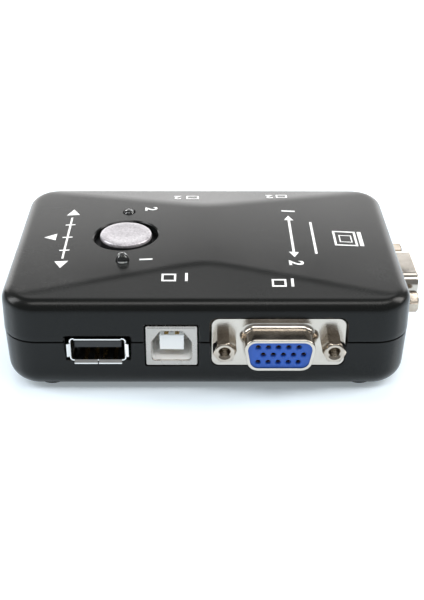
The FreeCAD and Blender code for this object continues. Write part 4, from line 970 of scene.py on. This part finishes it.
# ---- Circuit board and its parts ----
# Green solder mask on glass epoxy, with black moulded chips, tinned leads, a crystal can and
# chip parts. It is clamped between the bosses of the two shells.
green_mask = varied_finish(
    "green_solder_mask", deep=(0.008, 0.07, 0.025), pale=(0.014, 0.13, 0.05),
    cloud=90.0, grain=1500.0, smooth=0.2, rough=0.35, speckle=0.4, bump=0.3,
)
chip_epoxy = varied_finish(
    "chip_epoxy", deep=(0.014, 0.014, 0.015), pale=(0.03, 0.03, 0.03),
    cloud=300.0, grain=4200.0, smooth=0.5, rough=0.7, speckle=0.6, bump=0.5,
)
brown_ceramic = varied_finish(
    "brown_ceramic", deep=(0.26, 0.17, 0.10), pale=(0.44, 0.32, 0.21),
    cloud=400.0, grain=3000.0, smooth=0.4, rough=0.6, speckle=0.5, bump=0.3,
)
zinc = varied_finish(
    "zinc_plate", deep=(0.45, 0.45, 0.46), pale=(0.68, 0.68, 0.67),
    cloud=300.0, grain=2000.0, smooth=0.25, rough=0.42, speckle=0.4, bump=0.2,
    Metallic=1.0,
)
wear(nodes["circuit_board"], green_mask)
wear(nodes["case_screws"], zinc)
for channel in ("red", "green", "blue"):
    wear(nodes["video_switch_" + channel], chip_epoxy)
for chip in ("data_switch", "controller", "chip_resistors"):
    wear(nodes[chip], chip_epoxy)
wear(nodes["chip_capacitors"], brown_ceramic)
for tinned_part in ("chip_leads", "crystal", "capacitor_front", "capacitor_back"):
    wear(nodes[tinned_part], tinned)


# ---- Printed marks ----
# White pad print on the roof: plain channel numbers, arrows that point to the sockets, and
# plain pictograms of a screen and of a plug, a few hundredths of a millimetre thick.
PRINT_LIFT = 0.012 * MM
PRINT_THICKNESS = 0.03 * MM
LONGEST_PRINT_EDGE = 2.5 * MM
white_ink = varied_finish(
    "white_ink", deep=(0.80, 0.81, 0.81), pale=(0.92, 0.93, 0.93),
    cloud=400.0, grain=4000.0, smooth=0.4, rough=0.6, speckle=0.8, bump=0.3,
)
print_mesh = bmesh.new()
READING = {
    "from_front": (Vector((1, 0)), Vector((0, 1))),
    "from_back": (Vector((-1, 0)), Vector((0, -1))),
    "from_left": (Vector((0, -1)), Vector((1, 0))),
}


def print_outline(points):
    """Flat printed shape from points in millimetres about the middle of the case."""
    print_mesh.faces.new([print_mesh.verts.new((x * MM, y * MM, 0)) for x, y in points])


def print_bar(x0, x1, y0, y1):
    print_outline([(x0, y0), (x1, y0), (x1, y1), (x0, y1)])


def print_frame(x0, x1, y0, y1, line):
    """Rectangle drawn as four bars."""
    print_bar(x0, x1, y0, y0 + line)
    print_bar(x0, x1, y1 - line, y1)
    print_bar(x0, x0 + line, y0 + line, y1 - line)
    print_bar(x1 - line, x1, y0 + line, y1 - line)


NUMBER_WEIGHT = 0.12 * MM


def print_number(text, centre, height, reading):
    """A plain number of the given height, turned the way it reads."""
    curve = bpy.data.curves.new("number", "FONT")
    curve.body = text
    curve.size = height * MM / 0.7
    curve.offset = NUMBER_WEIGHT
    curve.align_x = "CENTER"
    curve.align_y = "CENTER"
    holder = bpy.data.objects.new("number", curve)
    bpy.context.scene.collection.objects.link(holder)
    graph = bpy.context.evaluated_depsgraph_get()
    flat = bpy.data.meshes.new_from_object(holder.evaluated_get(graph))
    bpy.data.objects.remove(holder)
    across, up = READING[reading]
    for vertex in flat.vertices:
        u, v = vertex.co.x, vertex.co.y
        vertex.co = (
            centre[0] * MM + u * across.x + v * up.x,
            centre[1] * MM + u * across.y + v * up.y,
            0,
        )
    print_mesh.from_mesh(flat)
    bpy.data.meshes.remove(flat)


print_outline([(-36.35, 12.7), (-32.94, 12.7), (-34.75, 16.07)])
print_outline([(-36.49, -12.65), (-34.76, -16.05), (-33.18, -12.65)])
print_outline([(-37.6, 2.21), (-40.67, 0.4), (-37.6, -1.39)])
print_bar(-35.0, -34.5, -11.3, 11.2)
for y in (-7.0, 0.0, 7.0):
    print_bar(-36.0, -33.5, y - 0.25, y + 0.25)
print_number("2", (-14.5, 14.6), 3.0, "from_left")
print_number("1", (-14.6, -13.4), 3.0, "from_left")
print_number("1", (-4.6, -21.8), 2.9, "from_front")
print_frame(-10.4, -7.0, -23.2, -20.4, 0.48)
print_number("1", (20.0, -23.8), 2.9, "from_front")
print_frame(15.2, 18.6, -25.2, -22.4, 0.48)
print_number("2", (-7.6, 22.8), 2.8, "from_back")
print_frame(-5.2, -1.9, 21.3, 24.1, 0.4)
print_number("2", (17.2, 23.8), 2.8, "from_back")
print_frame(19.0, 22.0, 22.6, 25.2, 0.4)
print_number("1", (21.4, 14.0), 3.4, "from_left")
print_number("2", (21.4, -14.6), 3.4, "from_left")
print_bar(21.1, 21.7, -9.0, 8.6)
print_outline([(20.2, 8.6), (22.6, 8.6), (21.4, 11.2)])
print_outline([(20.2, -9.0), (21.4, -11.6), (22.6, -9.0)])
print_bar(26.6, 27.2, -9.4, 8.0)
print_frame(32.0, 37.8, -4.5, 3.4, 0.55)
print_frame(33.4, 36.6, -2.6, 1.2, 0.3)
print_bar(38.3, 39.3, -4.3, 3.4)

bmesh.ops.triangulate(print_mesh, faces=print_mesh.faces)
long_edges = [edge for edge in print_mesh.edges if edge.calc_length() > LONGEST_PRINT_EDGE]
bmesh.ops.subdivide_edges(print_mesh, edges=long_edges, cuts=3, use_grid_fill=True)
bmesh.ops.triangulate(print_mesh, faces=print_mesh.faces)
bmesh.ops.remove_doubles(print_mesh, verts=print_mesh.verts, dist=1e-6)
for face in print_mesh.faces:
    if face.normal.z < 0:
        face.normal_flip()
for vertex in print_mesh.verts:
    x, y = vertex.co.x, vertex.co.y
    vertex.co = (x + CASE_X, y, roof_height(x, y) + PRINT_LIFT + PRINT_THICKNESS)
print_data = bpy.data.meshes.new("printed_marks")
print_mesh.to_mesh(print_data)
print_mesh.free()
marks = bpy.data.objects.new("printed_marks", print_data)
bpy.context.scene.collection.objects.link(marks)
thicken = marks.modifiers.new("thickness", "SOLIDIFY")
thicken.thickness = PRINT_THICKNESS
thicken.offset = -1
graph = bpy.context.evaluated_depsgraph_get()
thick_data = bpy.data.meshes.new_from_object(marks.evaluated_get(graph))
marks.modifiers.clear()
marks.data = thick_data
wear(marks, white_ink)
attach(marks, "case")
